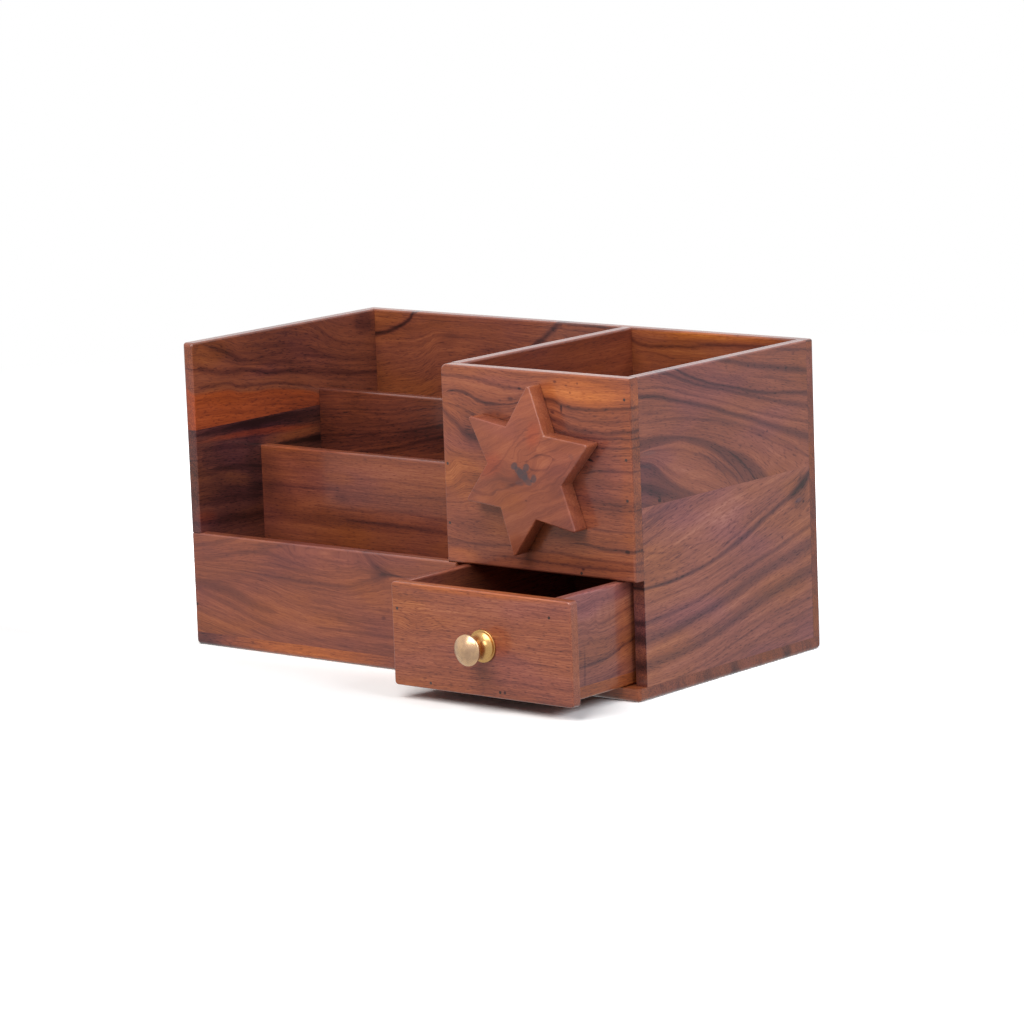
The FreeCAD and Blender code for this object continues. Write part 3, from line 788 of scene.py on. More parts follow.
    def _edges(self) -> Wire:
        """Finds where the wood is lightened, as wear and a painted highlight, and has more coat.

        Returns:
            1 on the upper edges, or on the bevelled corners of a carved piece.
        """
        if self.cut.carved:
            slope = self._slope()
            off_face = self.graph.faded(slope, *self.OFF_FACE_FADE)
            return off_face * self.graph.faded(slope, *self.OFF_SIDE_FADE) * self.cut.edge_wear_and_highlight
        first, second, third = self._gaps()
        nearest = first + second + third - first.most(second).most(third)
        upward = self.graph.faded(self.graph.parts(self._facing())[2], *self.UPWARD_FADE)
        return self.graph.faded(nearest, *self.EDGE_FADE) * upward * self.cut.edge_wear_and_highlight


RIGHT_SIDE_UPPER = WoodCut(
    # Painted sheen: the bluer tint stands in for the pale reflection on this right-facing side.
    "right_side_upper_wood", Grain.UPRIGHT_FRONT_TO_BACK, seed=1.0, wander=0.35, tint=(1.02, 1.08, 1.3),
    lines=(
        guide(62, (5, 83), (13, 80.5), (20, 78), (28, 75), (36, 72), (60, 60), (86, 44), (113, 28)),
        guide(72, (5, 92), (13, 89.5), (20, 84.5), (28, 79.5), (35, 76.5), (45, 73.5), (60, 67), (75, 57),
              (86, 49), (113, 36)),
        guide(90, (5, 95.5), (13, 96.2), (28, 96.6), (40, 93.5), (50, 89.5), (60, 83.5), (70, 76), (78, 69),
              (90, 59), (113, 46)),
        guide(95, (5, 101.5), (20, 100.5), (32, 98.3), (40, 96.8), (50, 93.8), (60, 90), (70, 86.5),
              (80, 81), (88, 75), (93, 71), (113, 58)),
        vein(0.08, (5, 106, 0), (26, 105, 0.5), (45, 102, 0.5), (68, 97, 0.6), (91, 89, 0.6),
             (113, 78, 0.7), level=100),
        vein(0.34, (5, 116.5, 0.8), (16, 115, 0.9), (26.5, 112.3, 0.9), (39, 109, 1.0), (52, 105.3, 1.0),
             (62, 102.3, 0.9), (74, 98.8, 1.1), (86, 94.6, 1.4), (97, 90.8, 1.8), (113, 85.5, 2.2),
             level=108),
        vein(0.26, (5, 127, 0.8), (19, 124, 0.8), (32, 119.5, 0.7), (42, 116, 0.7), (52, 113.3, 0.7),
             (68, 109.3, 0.8), (82, 105.5, 0.7), (99, 101, 1.0), (113, 98, 1.2), level=117),
        vein(0.3, (5, 140, 1.0), (30, 131, 1.1), (52, 125, 1.2), (64, 122, 1.2), (74, 119.6, 1.2),
             (86, 117.3, 1.3), (99, 114.8, 1.3), (113, 112, 1.2), level=128),
        guide(136, (5, 150), (52, 134), (86, 124), (99, 123), (113, 121)),
        vein(0.3, (26, 125, 0.5), (34, 121, 0.6), (44, 117.3, 0.7), (55, 114, 0.6), (66, 111.5, 0.6),
             (76, 109, 0.8), (89, 106.5, 0.8), (103, 104.5, 1.0), (113, 103, 1.1)),
        vein(0.14, (80, 125.5, 0), (88, 124.4, 0.5), (99, 122.6, 0.6), (113, 120.6, 0.5)),
        vein(0.2, (5, 119.5, 0.4), (20, 117.8, 0.4), (34, 113.6, 0.5), (49, 109.5, 0.5), (62, 106, 0.4),
             (74, 102, 0.5), (91, 97.2, 0.5), (113, 91.5, 0.6)),
        vein(0.12, (5, 113, 0.4), (20, 111, 0.4), (34, 108.4, 0.4), (49, 104, 0.4), (62, 100.5, 0)),
        vein(0.12, (70, 95.5, 0), (78, 92, 0.3), (86, 88.5, 0.4), (97, 84, 0.4), (113, 77.5, 0.4)),
        vein(0.16, (42, 94, 0), (52, 89.7, 0.3), (60, 84, 0.5), (67, 78, 0.5), (71, 73.5, 0.5)),
        vein(0.16, (40, 93, 0), (50, 87.5, 0.3), (58, 82, 0.4), (64, 77.5, 0.5), (67, 73.5, 0.4)),
        vein(0.12, (36, 93.5, 0), (44, 89, 0.3), (54, 82, 0.4), (60, 76, 0.4), (62, 73.5, 0.3)),
        vein(0.18, (56, 90, 0), (64, 85.5, 0.5), (72, 79.5, 0.6), (78, 73.5, 0.6)),
    ),
    zones=(Zone(Mark.DARK, 90.2, 95.0, 0.26, 0.8), Zone(Mark.DARK, 30, 71.5, 0.22, 1.4)),
    spots=(
        *marks(Mark.LIGHT, (36, 86, 24, 12, 0.08, -20)),
        *marks(Mark.GREY, (10.5, 94.3, 6, 1.3, 0.25, -2), (9, 89.3, 4.5, 1.2, 0.2, -4)),
        *marks(Mark.DARK, (16.2, 75.2, 1.5, 1.1, 0.3), (85.8, 91.9, 0.9, 0.6, 0.3),
               (75.3, 87.5, 1.4, 0.7, 0.26, -10), (74.6, 119, 0.8, 0.8, 0.2)),
    ),
)
RIGHT_SIDE_LOWER = WoodCut(
    "right_side_lower_wood", Grain.UPRIGHT_FRONT_TO_BACK, seed=2.0, wander=0.4, tone=0.05, edge_wear_and_highlight=0.0,
    # Painted shade: ends=-0.28 makes the sawn ends much darker, for the shade on the front end beside the
    # drawer. Painted sheen: the bluer tint stands in for the pale reflection on this right-facing side.
    ends=-0.28, tint=(1.08, 1.24, 1.7),
    lines=(
        guide(4, (5, 0), (28, 1), (62, 6), (80, 9), (113, 13)),
        vein(0.26, (5, 13, 2.0), (24, 14, 1.5), (41, 16.2, 1.3), (57, 20, 1.5), (74, 24.7, 1.7),
             (91, 28.7, 2.2), (113, 32.2, 2.7), level=13),
        vein(0.26, (5, 23.2, 2.6), (24, 24.7, 2.2), (41, 27.7, 1.7), (57, 31, 2.0), (74, 35.2, 2.6),
             (91, 39.2, 2.6), (113, 43.2, 3.2), level=23),
        vein(0.26, (5, 29.7, 1.2), (24, 31.2, 0.8), (41, 33.7, 0.8), (57, 37.5, 1.0), (74, 41.2, 1.2),
             (91, 45, 1.0), (113, 50.5, 1.4), level=30),
        vein(0.14, (5, 37, 0.3), (30, 39, 0.4), (44, 41, 0.4), (57, 43.5, 0.4), (70, 46.5, 0), (113, 56, 0),
             level=36),
        vein(0.32, (5, 43, 0.6), (24, 43.5, 0.7), (36, 44.8, 0.8), (51, 47.5, 0.9), (60, 50, 1.1),
             (70, 53, 1.3), (80, 57, 1.2), (88, 60, 1.1), (97, 63, 1.2), (105, 66, 1.6), (113, 71, 2.0),
             level=42),
        guide(51, (5, 56), (26, 60), (45, 65), (60, 68), (73, 70), (85, 72), (99, 75), (113, 80)),
        guide(60, (5, 67), (26, 73), (50, 78), (80, 84), (113, 90)),
        vein(0.16, (48, 50.5, 0), (60, 53, 0.5), (75, 59, 0.6), (88, 63.5, 0.5), (97, 66, 0)),
        vein(0.18, (18, 4.6, 0), (28, 5.5, 0.4), (45, 8.5, 0.4), (62, 12.5, 0.5), (80, 17, 0.5),
             (100, 20, 0.5), (113, 21.5, 0.5)),
        vein(0.12, (42, 5, 0), (55, 6, 0.4), (70, 10, 0.4), (90, 13.5, 0.4), (113, 17.5, 0.4)),
        vein(0.16, (5, 57, 0.5), (17, 55, 0.4), (24, 54, 0)),
        vein(0.14, (26, 56, 0), (34, 55.2, 0.3), (45, 55, 0.3), (55, 57.5, 0.3), (65, 61, 0.3),
             (71, 65.5, 0)),
        vein(0.14, (5, 60, 0.5), (15, 63, 0.4), (24, 66, 0)),
        vein(0.14, (5, 68, 0.4), (20, 72, 0.3), (30, 75, 0)),
        vein(0.12, (5, 64, 0.3), (22, 69.5, 0.3), (40, 72, 0)),
    ),
    spots=(
        *marks(Mark.LIGHT, (46, 61, 32, 9, 0.1, 8)),
        *marks(Mark.WARM, (30, 19, 34, 9, 0.8, 8)),
        *marks(Mark.DARK, (106, 64, 9, 8, 0.22, 30), (110, 69, 7, 5, 0.16), (108.3, 60.5, 1.0, 0.8, 0.35),
               (93.8, 48.5, 0.9, 0.8, 0.3), (61, 61, 0.9, 0.7, 0.25), (74, 62, 0.9, 0.7, 0.25)),
        *marks(Mark.GREY, (105, 61.6, 3.0, 1.2, 0.4, 10)),
    ),
)
LEFT_SIDE_UPPER = WoodCut(
    "left_side_upper_wood", Grain.UPRIGHT_FRONT_TO_BACK, seed=3.0, wander=0.6, tone=-0.03, veins=0.08,
    lines=(
        guide(88, (5, 86), (50, 84), (75, 82), (113, 78)),
        vein(0.24, (5, 105.6, 0.6), (20, 105, 0.7), (28, 102.7, 0.7), (36, 102, 0.6), (50, 101, 0.5),
             (62, 99, 0.5), (70, 97, 0.4), (78, 94, 0), (113, 86, 0), level=98),
        vein(0.22, (5, 113.4, 1.4), (12, 111.2, 1.2), (20, 109.7, 1.0), (30, 109, 1.0), (38, 107.4, 1.2),
             (46, 105.8, 1.0), (56, 105, 1.0), (66, 103.8, 1.2), (80, 101.5, 1.2), (100, 98.5, 1.0),
             (113, 97, 0.8), level=104),
        vein(0.12, (5, 123, 0), (15, 120, 0.8), (24, 116, 0.9), (30, 113, 0.6), (45, 112, 0), (60, 111, 0),
             (80, 108, 0.9), (95, 105, 1.0), (113, 103, 0.8), level=110),
        vein(0.16, (5, 133, 0), (40, 128, 0), (68, 124, 0), (76, 120.5, 0.9), (86, 114.3, 1.2),
             (95, 111.7, 1.2), (108, 110, 0.8), (113, 109, 0.8), level=118),
        vein(0.12, (30, 112.4, 0), (42, 111.4, 0.5), (58, 108.5, 0.6), (72, 106.6, 0.6), (90, 102.5, 0.4)),
    ),
    zones=(Zone(Mark.GOLDEN, 70, 97.6, 0.4, 0.5), Zone(Mark.RED, 70, 97.6, 0.55, 0.5)),
    spots=(
        *marks(Mark.WARM, (10, 119, 18, 7, 0.6)),
        *marks(Mark.LIGHT, (38, 109.4, 9, 1.2, 0.12, -8), (12, 115, 14, 3, 0.08, -12)),
        *marks(Mark.DARK, (20, 117, 15, 5, 0.12, -20), (22, 107.6, 14, 2.5, 0.1, -6),
               (106, 119, 9, 7, 0.22), (66, 92, 18, 3, 0.08, -12)),
    ),
)
LEFT_SIDE_LOWER = WoodCut(
    # Painted shade: the low tone and cool tint darken this board, whose inner face lies in shade inside the
    # slots.
    "left_side_lower_wood", Grain.UPRIGHT_FRONT_TO_BACK, seed=4.0, wander=0.7, tone=-0.22, edge_wear_and_highlight=0.0,
    tint=(0.82, 0.9, 1.05),
    lines=(
        guide(50, (5, 46), (60, 47), (113, 46)),
        guide(66, (5, 66), (20, 64), (38, 60), (60, 58), (113, 56)),
        vein(0.16, (5, 76, 2.6), (20, 75, 2.8), (38, 73.5, 2.4), (75, 73.5, 1.2), (113, 72, 1.0), level=76),
        vein(0.1, (5, 86, 0.6), (20, 86.2, 1.8), (40, 86, 2.2), (60, 85.8, 2.2), (113, 85, 1.6), level=86),
        vein(0.34, (46, 76.4, 0), (54, 76.2, 0.9), (64, 75.9, 1.2), (75, 75.3, 1.4), (90, 74.5, 1.2)),
        vein(0.1, (8, 85.4, 0), (18, 85.6, 0.8), (32, 86, 1.2), (50, 86.4, 1.0), (70, 86.6, 0.8),
             (84, 86.8, 0)),
        vein(0.16, (5, 79.6, 0.6), (12, 79.2, 1.0), (24, 78.2, 1.2), (36, 77.4, 0.9), (42, 77, 0)),
        vein(0.2, (5, 71.5, 0), (12, 71.2, 0.8), (22, 70.2, 1.0), (33, 69, 0.8), (40, 68, 0.5)),
    ),
    spots=(
        *marks(Mark.RED, (38, 82.2, 48, 2.2, 0.9, -2), (60, 78.8, 26, 3.4, 0.3), (4, 52, 9, 4, 0.5)),
        *marks(Mark.LIGHT, (38, 82.2, 48, 1.8, 0.2, -2), (60, 78.8, 26, 3.4, 0.26),
               (24, 65, 16, 4.5, 0.07, -18)),
        *marks(Mark.WARM, (62, 78.5, 20, 2.6, 0.8), (24, 65, 16, 4.5, 0.8, -18)),
        # Painted shade: these two broad dark spots darken a low patch and an upright band where the slots
        # lie in shade.
        *marks(Mark.DARK, (22, 56, 34, 16, 0.1), (35, 72, 8, 26, 0.1)),
    ),
)
BACK_PANEL = WoodCut(
    "back_panel_wood", Grain.UPRIGHT_LENGTHWISE, seed=5.0, wander=0.8, tone=-0.01, veins=0.08,
    lines=(
        guide(30, (0, 30), (110, 34), (229, 30)),
        guide(70, (0, 70), (50, 76), (120, 78), (229, 70)),
        vein(0.12, (0, 99, 0.5), (10, 101, 0.6), (25, 103, 0.6), (35, 108, 0.5), (45, 112, 0),
             (100, 107, 0), (229, 104, 0), level=98),
        vein(0.42, (3, 113, 1.0), (9, 114, 1.0), (15, 115.6, 1.0), (20, 118, 0.9), (25, 121.3, 1.1),
             (27.5, 125, 1.3)),
        vein(0.36, (86, 111.5, 0), (91, 113.6, 0.9), (96, 116.4, 1.4), (100, 119.5, 1.5), (105, 124, 1.8)),
        vein(0.22, (139, 121.5, 0.9), (144, 118.8, 0.9), (152, 117, 0.7), (165, 117.2, 0.7),
             (185, 118.8, 0.7), (200, 119.5, 0.7), (229, 120, 0.8)),
        vein(0.18, (146, 114.8, 0.3), (155, 114, 0.4), (162, 112.5, 0.3)),
        vein(0.1, (40, 104, 0), (52, 106, 0.8), (64, 109.5, 0.8), (78, 111, 0)),
        guide(124, (0, 128), (60, 124), (120, 126), (160, 121), (229, 128)),
    ),
    spots=(
        *marks(Mark.WARM, (10, 121, 18, 7, 1.0, 14)),
        *marks(Mark.LIGHT, (10, 121, 18, 7, 0.08, 14), (185, 124, 62, 5.5, 0.2)),
        *marks(Mark.DARK, (45, 113, 9, 5, 0.14, 20), (72, 106, 24, 8, 0.06)),
        *marks(Mark.GOLDEN, (185, 124, 62, 5.5, 0.7)),
    ),
)
FRONT_PANEL = WoodCut(
    "pen_box_front_wood", Grain.UPRIGHT_LENGTHWISE, seed=6.0, wander=0.7, tone=0.02, veins=0.12,
    lines=(
        guide(50, (136, 50), (160, 50), (190, 51), (229, 52)),
        vein(0.34, (136, 60, 0), (160, 58, 0), (190, 58.5, 0), (203, 59.5, 0.3), (209, 59, 0.7),
             (218, 58.3, 0.8), (229, 58.3, 0.6), level=58),
        vein(0.16, (136, 70, 0.4), (145, 70.5, 0.4), (152, 71.7, 0.3), (170, 70, 0), (200, 69, 0),
             (229, 69, 0), level=69),
        guide(80, (136, 79), (150, 80), (180, 80), (229, 80)),
        guide(90, (136, 92), (145, 88.5), (160, 88), (190, 90), (215, 89), (229, 90)),
        vein(0.26, (136, 107.5, 1.4), (144, 101, 1.6), (152, 97, 2.0), (160, 97.5, 1.4), (172, 101, 0),
             (186, 107, 0.8), (193, 105.6, 1.1), (202, 103, 1.2), (212, 102.2, 0.9), (229, 103.7, 0.7),
             level=102),
        vein(0.34, (139, 113, 0), (143, 114, 0.5), (155, 111, 0.7), (166, 110, 0.4), (178, 112.5, 0.3),
             (188, 113.6, 0.7), (196, 112.2, 0.8), (204, 111, 0.7), (215, 111.5, 0.6), (229, 112.6, 0.6),
             level=110),
        vein(0.3, (136, 120, 0.5), (152, 119.4, 0.7), (162, 117.6, 0.8), (176, 116.4, 0.5), (190, 117.5, 0),
             (229, 118, 0), level=117),
        vein(0.26, (184, 104.5, 0), (190, 103, 0.6), (198, 100.8, 0.7), (210, 99.8, 0.6), (222, 100.6, 0.5),
             (229, 101, 0.4)),
        vein(0.2, (186, 110.5, 0), (192, 109.6, 0.4), (201, 107.5, 0.5), (212, 106.5, 0.5),
             (229, 108, 0.4)),
        vein(0.22, (188, 99, 0), (198, 97.4, 0.4), (214, 96.6, 0.5), (229, 97.5, 0.3)),
        vein(0.2, (138, 109.5, 0), (146, 108, 0.5), (158, 104.5, 0.6), (166, 104, 0.3), (170, 104, 0)),
        vein(0.24, (172, 54.4, 0), (184, 54.8, 0.5), (200, 54.2, 0.7), (215, 53.6, 0.6), (229, 53.4, 0.6)),
        vein(0.18, (140, 55.2, 0), (152, 54.6, 0.5), (166, 55.4, 0.5), (178, 56, 0)),
        vein(0.2, (150, 50.6, 0), (168, 50.8, 0.4), (190, 50.4, 0.5), (212, 50.2, 0.5), (229, 50.4, 0.5)),
        vein(0.16, (206, 66, 0), (214, 65.4, 0.4), (229, 65.6, 0.4)),
        vein(0.16, (206, 74, 0), (216, 73.2, 0.4), (229, 73.6, 0.3)),
        vein(0.2, (206, 86.2, 0.2), (214, 87.6, 0.5), (229, 88.2, 0.4)),
    ),
    spots=(
        *marks(Mark.GOLDEN, (210, 117.5, 38, 9.5, 0.75), (227, 85, 5, 40, 0.3), (143, 49, 15, 5, 0.6)),
        *marks(Mark.LIGHT, (209, 117, 36, 8.5, 0.18), (143, 49, 14, 4.5, 0.18), (142, 81, 12, 9, 0.09)),
        *marks(Mark.WARM, (175, 123, 60, 5, 0.9), (144, 82, 14, 11, 0.8)),
        *marks(Mark.SWELL, (136, 79.5, 12, 11, 5.0)),
        *marks(Mark.DARK, (152, 99, 9, 12, 0.14, 40), (210, 90, 14, 12, 0.14), (214, 74, 18, 8, 0.1),
               # Painted shadow: the spots at (150, 62) and (184, 60) darken the panel below the star's lower
               # arms.
               (150, 62, 16, 6, 0.12), (184, 60, 26, 7, 0.12), (190, 51, 44, 4, 0.1),
               (162, 108, 10, 4, 0.1, -20), (171, 112.5, 2.0, 1.2, 0.3), (175.5, 116.6, 1.2, 0.9, 0.3),
               (208.5, 91.6, 2.4, 0.6, 0.6, -14), (193, 120.4, 1.2, 0.8, 0.35),
               (198.5, 119.4, 1.0, 0.7, 0.3), (196, 110.5, 0.8, 2.2, 0.4), (200.5, 117, 0.7, 0.6, 0.3),
               (204, 120.5, 0.7, 0.6, 0.3), (191.5, 108.8, 1.6, 0.7, 0.35, -20), (226, 58, 1.6, 1.0, 0.3),
               (204, 49.4, 1.2, 0.9, 0.3)),
    ),
)
LOW_WALL = WoodCut(
    "low_front_wall_wood", Grain.UPRIGHT_LENGTHWISE, seed=7.0, wander=0.6, veins=0.06, pores=0.14,
    lines=(
        guide(4, (0, 14), (31, 8), (51, 4), (141, 1)),
        vein(0.13, (0, 23, 1.2), (10, 20, 1.2), (22, 17, 1.2), (31, 14.3, 1.0), (45, 10.8, 0.7),
             (52, 9.5, 0), (98, 6, 0), (141, 6, 0), level=9),
        vein(0.2, (0, 25, 2.0), (15, 24.3, 2.0), (25, 22, 1.8), (35, 19.5, 1.6), (44, 17.5, 0.9),
             (49, 16.6, 0), (64, 13.8, 0), (70, 13.5, 0.5), (92, 13, 0.6), (110, 12.8, 0.5), (118, 12.8, 0),
             (141, 12.8, 0), level=14),
        vein(0.08, (0, 31, 0.6), (33, 30.5, 0.6), (50, 27, 0), (70, 24, 0), (98, 22, 0), (141, 22, 0),
             level=22),
        vein(0.2, (0, 33, 0), (30, 32.4, 0.2), (45, 31.6, 0.8), (68, 31, 0.9), (80, 31.2, 0.9),
             (90, 33.2, 1.2), (100, 36, 1.4), (108, 38, 0.8), (120, 36, 0), (141, 34, 0), level=29),
        vein(0.16, (0, 40.5, 0.9), (11, 42.5, 0.9), (22, 45.4, 0.8), (40, 49, 0), (77, 52, 0),
             (88, 49, 0.6), (94, 44.5, 1.2), (101, 39.5, 1.8), (108, 38, 0.4), (141, 39, 0), level=38),
        vein(0.1, (0, 34.6, 0.6), (6, 35.5, 0.8), (28, 40, 0.9), (50, 45, 0.7), (60, 47, 0)),
        vein(0.08, (66, 10, 0), (74, 9.6, 0.7), (90, 9.4, 0.8), (110, 8.6, 0.7)),
        vein(0.1, (74, 18, 0), (80, 17.6, 0.4), (90, 16, 0.5), (98, 15.4, 0.4), (101, 15.2, 0)),
    ),
    spots=(
        *marks(Mark.SWELL, (73, 40, 34, 8, 2.5)),
        *marks(Mark.LIGHT, (73, 40, 34, 8, 0.05)),
        *marks(Mark.DARK, (100, 38, 7, 4.5, 0.1, -30), (22, 22, 26, 5, 0.06, -16),
               (102, 20.3, 1.6, 1.4, 0.16)),
    ),
)
BASE_BOARD = WoodCut(
    "base_board_wood", Grain.FLAT_LENGTHWISE, seed=8.0,
    lines=(
        vein(0.24, (170, 42.5, 0), (200, 43, 2.2), (229, 43, 2.4)),
        vein(0.24, (170, 60, 0), (200, 61, 3.0), (229, 61, 3.2)),
        vein(0.22, (170, 95, 0), (200, 95.5, 1.8), (229, 95.5, 2.0)),
        vein(0.16, (190, 24, 0), (205, 24, 1.2), (229, 24, 1.4)),
        vein(0.16, (190, 78, 0), (205, 78, 1.2), (229, 78, 1.4)),
    ),
    spots=(
        *marks(Mark.GOLDEN, (59, 0, 56, 20, 0.7), (226, 0, 14, 10, 0.4)),
        *marks(Mark.LIGHT, (59, 0, 56, 20, 0.1)),
        *marks(Mark.DARK, (2, 0, 14, 30, 0.16)),
    ),
)
FRONT_DIVIDER = WoodCut(
    "front_divider_wood", Grain.UPRIGHT_LENGTHWISE, seed=9.0, wander=0.5, veins=0.08, bands=0.4,
    tint=(0.98, 0.92, 0.84),
    lines=(
        vein(0.12, (20, 65, 0.2), (40, 65.5, 0.3), (52, 66, 0.35), (75, 67, 0.35), (103, 66, 0.4),
             (137, 66, 0.4)),
        vein(0.12, (20, 60.5, 0.2), (45, 61, 0.3), (75, 61, 0.35), (103, 62, 0.3), (137, 62, 0.3)),
        vein(0.16, (35, 54, 0.2), (60, 53.5, 0.5), (75, 55, 0.5), (103, 53.5, 0.6), (137, 54, 0.5)),
        vein(0.2, (50, 49.5, 0.2), (80, 48.8, 0.9), (103, 48.3, 1.0), (137, 48, 0.9)),
    ),
    spots=(
        *marks(Mark.DARK, (9, 66, 10, 14, 0.1), (14, 56, 13, 10, 0.14), (48, 58, 6, 3, 0.12),
               (50, 49, 46, 5, 0.1)),
        *marks(Mark.WARM, (47, 66, 12, 4, 0.9)),
        *marks(Mark.LIGHT, (47, 66, 12, 4, 0.08), (95, 70, 60, 9, 0.12)),
    ),
)
REAR_DIVIDER = WoodCut(
    "rear_divider_wood", Grain.UPRIGHT_LENGTHWISE, seed=10.0, wander=0.5, tone=-0.17, veins=0.1, bands=0.4,
    tint=(0.8, 0.72, 0.68),
    lines=(
        guide(60, (5, 58), (137, 68)),
        vein(0.2, (5, 66, 0.3), (30, 70.5, 0.6), (45, 73, 0.7), (60, 77, 0.8), (75, 80.5, 0.7),
             (100, 86, 0.6), (137, 92, 0.5), level=74),
        vein(0.14, (5, 75, 0.4), (30, 78, 0.4), (45, 79.5, 0.4), (60, 82, 0.5), (75, 85, 0.5),
             (100, 90, 0.4), (137, 95, 0.3), level=80),
        vein(0.12, (5, 85, 0.3), (25, 86.5, 0.4), (45, 87.5, 0.4), (60, 90, 0.4), (80, 92, 0.4),
             (137, 99, 0.3), level=88),
    ),
    spots=(
        *marks(Mark.DARK, (90, 78, 50, 12, 0.12)),
        *marks(Mark.LIGHT, (12, 90, 14, 6, 0.1)),
    ),
)
PARTITION = WoodCut(
    "partition_wood", Grain.UPRIGHT_FRONT_TO_BACK, seed=11.0, tone=-0.02, veins=0.1, bands=0.4,
    tint=(1.0, 0.86, 0.82),
)
PEN_FLOOR = WoodCut("pen_box_floor_wood", Grain.FLAT_LENGTHWISE, seed=12.0)
STAR = WoodCut(
    "star_wood", Grain.UPRIGHT_LENGTHWISE, seed=13.0, tone=0.06, wander=2.2, veins=0.14, bands=0.6,
    pores=0.08, fibres=0.55, edge_wear_and_highlight=0.7, ends=0.07, carved=True, turn=24.0, tint=(1.0, 0.94, 0.92),
    lines=(
        vein(0.16, (154, 77.7, 0.2), (163, 76.5, 0.5), (170, 79, 0.5), (176, 81, 0.5), (181, 82.7, 0.2)),
        vein(0.16, (177.5, 91, 0.2), (179, 95, 0.4), (182, 98, 0.5), (187, 100.5, 0.5),
             (190.5, 101.8, 0.3)),
        vein(0.14, (183.5, 92.5, 0.2), (188, 94.8, 0.4), (191, 98, 0.4), (191.6, 101, 0.3)),
        vein(0.18, (184.4, 89, 0.2), (187, 87, 0.4), (191, 87, 0.4), (195, 89.4, 0.4), (196.2, 91, 0.2)),
        vein(0.18, (184.6, 89.6, 0.2), (187, 91.6, 0.4), (191, 92.8, 0.4), (195, 92.4, 0.4),
             (196.4, 91.2, 0.2)),
        vein(0.12, (164, 84, 0.2), (170, 88, 0.5), (176, 94.5, 0.5), (184, 103, 0.4)),
        vein(0.12, (186, 79, 0.2), (194, 81.5, 0.5), (201, 86, 0.5), (206, 92, 0.3)),
    ),
    spots=(
        *marks(Mark.SWELL, (181, 86, 12, 9, 4.0), (166, 76, 8, 5, 1.5, 10), (196, 78, 9, 5, 1.5, 10)),
        *marks(Mark.LIGHT, (190.2, 89.8, 6, 3, 0.14, 10), (163, 77, 7, 4, 0.12, 30),
               (172, 98, 9, 8, 0.08, 40), (192, 95, 6, 4, 0.1, -30)),
        *marks(Mark.DARK, (199, 83, 9, 9, 0.08), (176, 84, 14, 5, 0.1, -20), (181.8, 85.8, 0.8, 0.8, 0.6),
               (181.5, 86, 4.5, 3.5, 0.1, -30), (183.5, 75.7, 0.7, 0.7, 0.3)),
        *marks(Mark.RED, (166, 88, 9, 6, 0.4, 30), (188, 101, 5, 8, 0.4, -20)),
        *marks(Mark.WARM, (176, 74, 10, 6, 0.9)),
        *marks(Mark.GREY, (177.9, 88.4, 1.9, 1.4, 0.8, 20, 0.4), (180.0, 86.7, 2.4, 1.7, 0.8, -40, 0.4),
               (183.4, 87.9, 1.8, 1.8, 0.8, 0, 0.4), (182.0, 85.4, 3.0, 2.2, 0.85, -30, 0.4),
               (184.5, 83.2, 2.8, 1.6, 0.75, -25, 0.4), (187.2, 83.8, 1.7, 1.6, 0.8, 10, 0.4),
               (181.0, 82.6, 2.6, 1.2, 0.35, 0, 0.5), (205.5, 93.5, 1.8, 1.4, 0.25)),
    ),
)
DRAWER_FRONT = WoodCut(
    "drawer_front_wood", Grain.UPRIGHT_LENGTHWISE, seed=14.0, wander=0.5, tone=0.06, veins=0.1, bands=0.38,
    pores=0.34, fibres=1.3, ends=0.06,
    lines=(
        vein(0.14, (141, 34, 0), (158, 34.5, 0.3), (164, 32.5, 0.5), (170, 30, 0.3), (176, 29, 0)),
        vein(0.18, (200, 20.8, 0), (207, 20.5, 0.3), (220, 20.4, 0.4), (226, 20.5, 0)),
        vein(0.18, (205, 9.2, 0), (210, 9, 0.4), (217, 9, 0.4), (221, 9, 0)),
        vein(0.2, (208, 6.5, 0), (216, 6.4, 0.7), (229, 6.2, 0.8)),
    ),
    spots=(
        *marks(Mark.SWELL, (155, 29, 11, 8, 1.5)),
        # Painted shadow: the spot at (183, 16) darkens the wood under the knob.
        *marks(Mark.DARK, (155.5, 30, 8, 6, 0.1), (183, 16, 5, 1.6, 0.12), (195.8, 7.7, 0.9, 0.9, 0.5)),
        # Painted reflection: this red spot beside the knob stands in for warm light thrown by the brass.
        *marks(Mark.RED, (194, 28, 6, 9, 0.12)),
        *marks(Mark.GOLDEN, (185, 45.6, 60, 2.6, 0.8)),
    ),
)
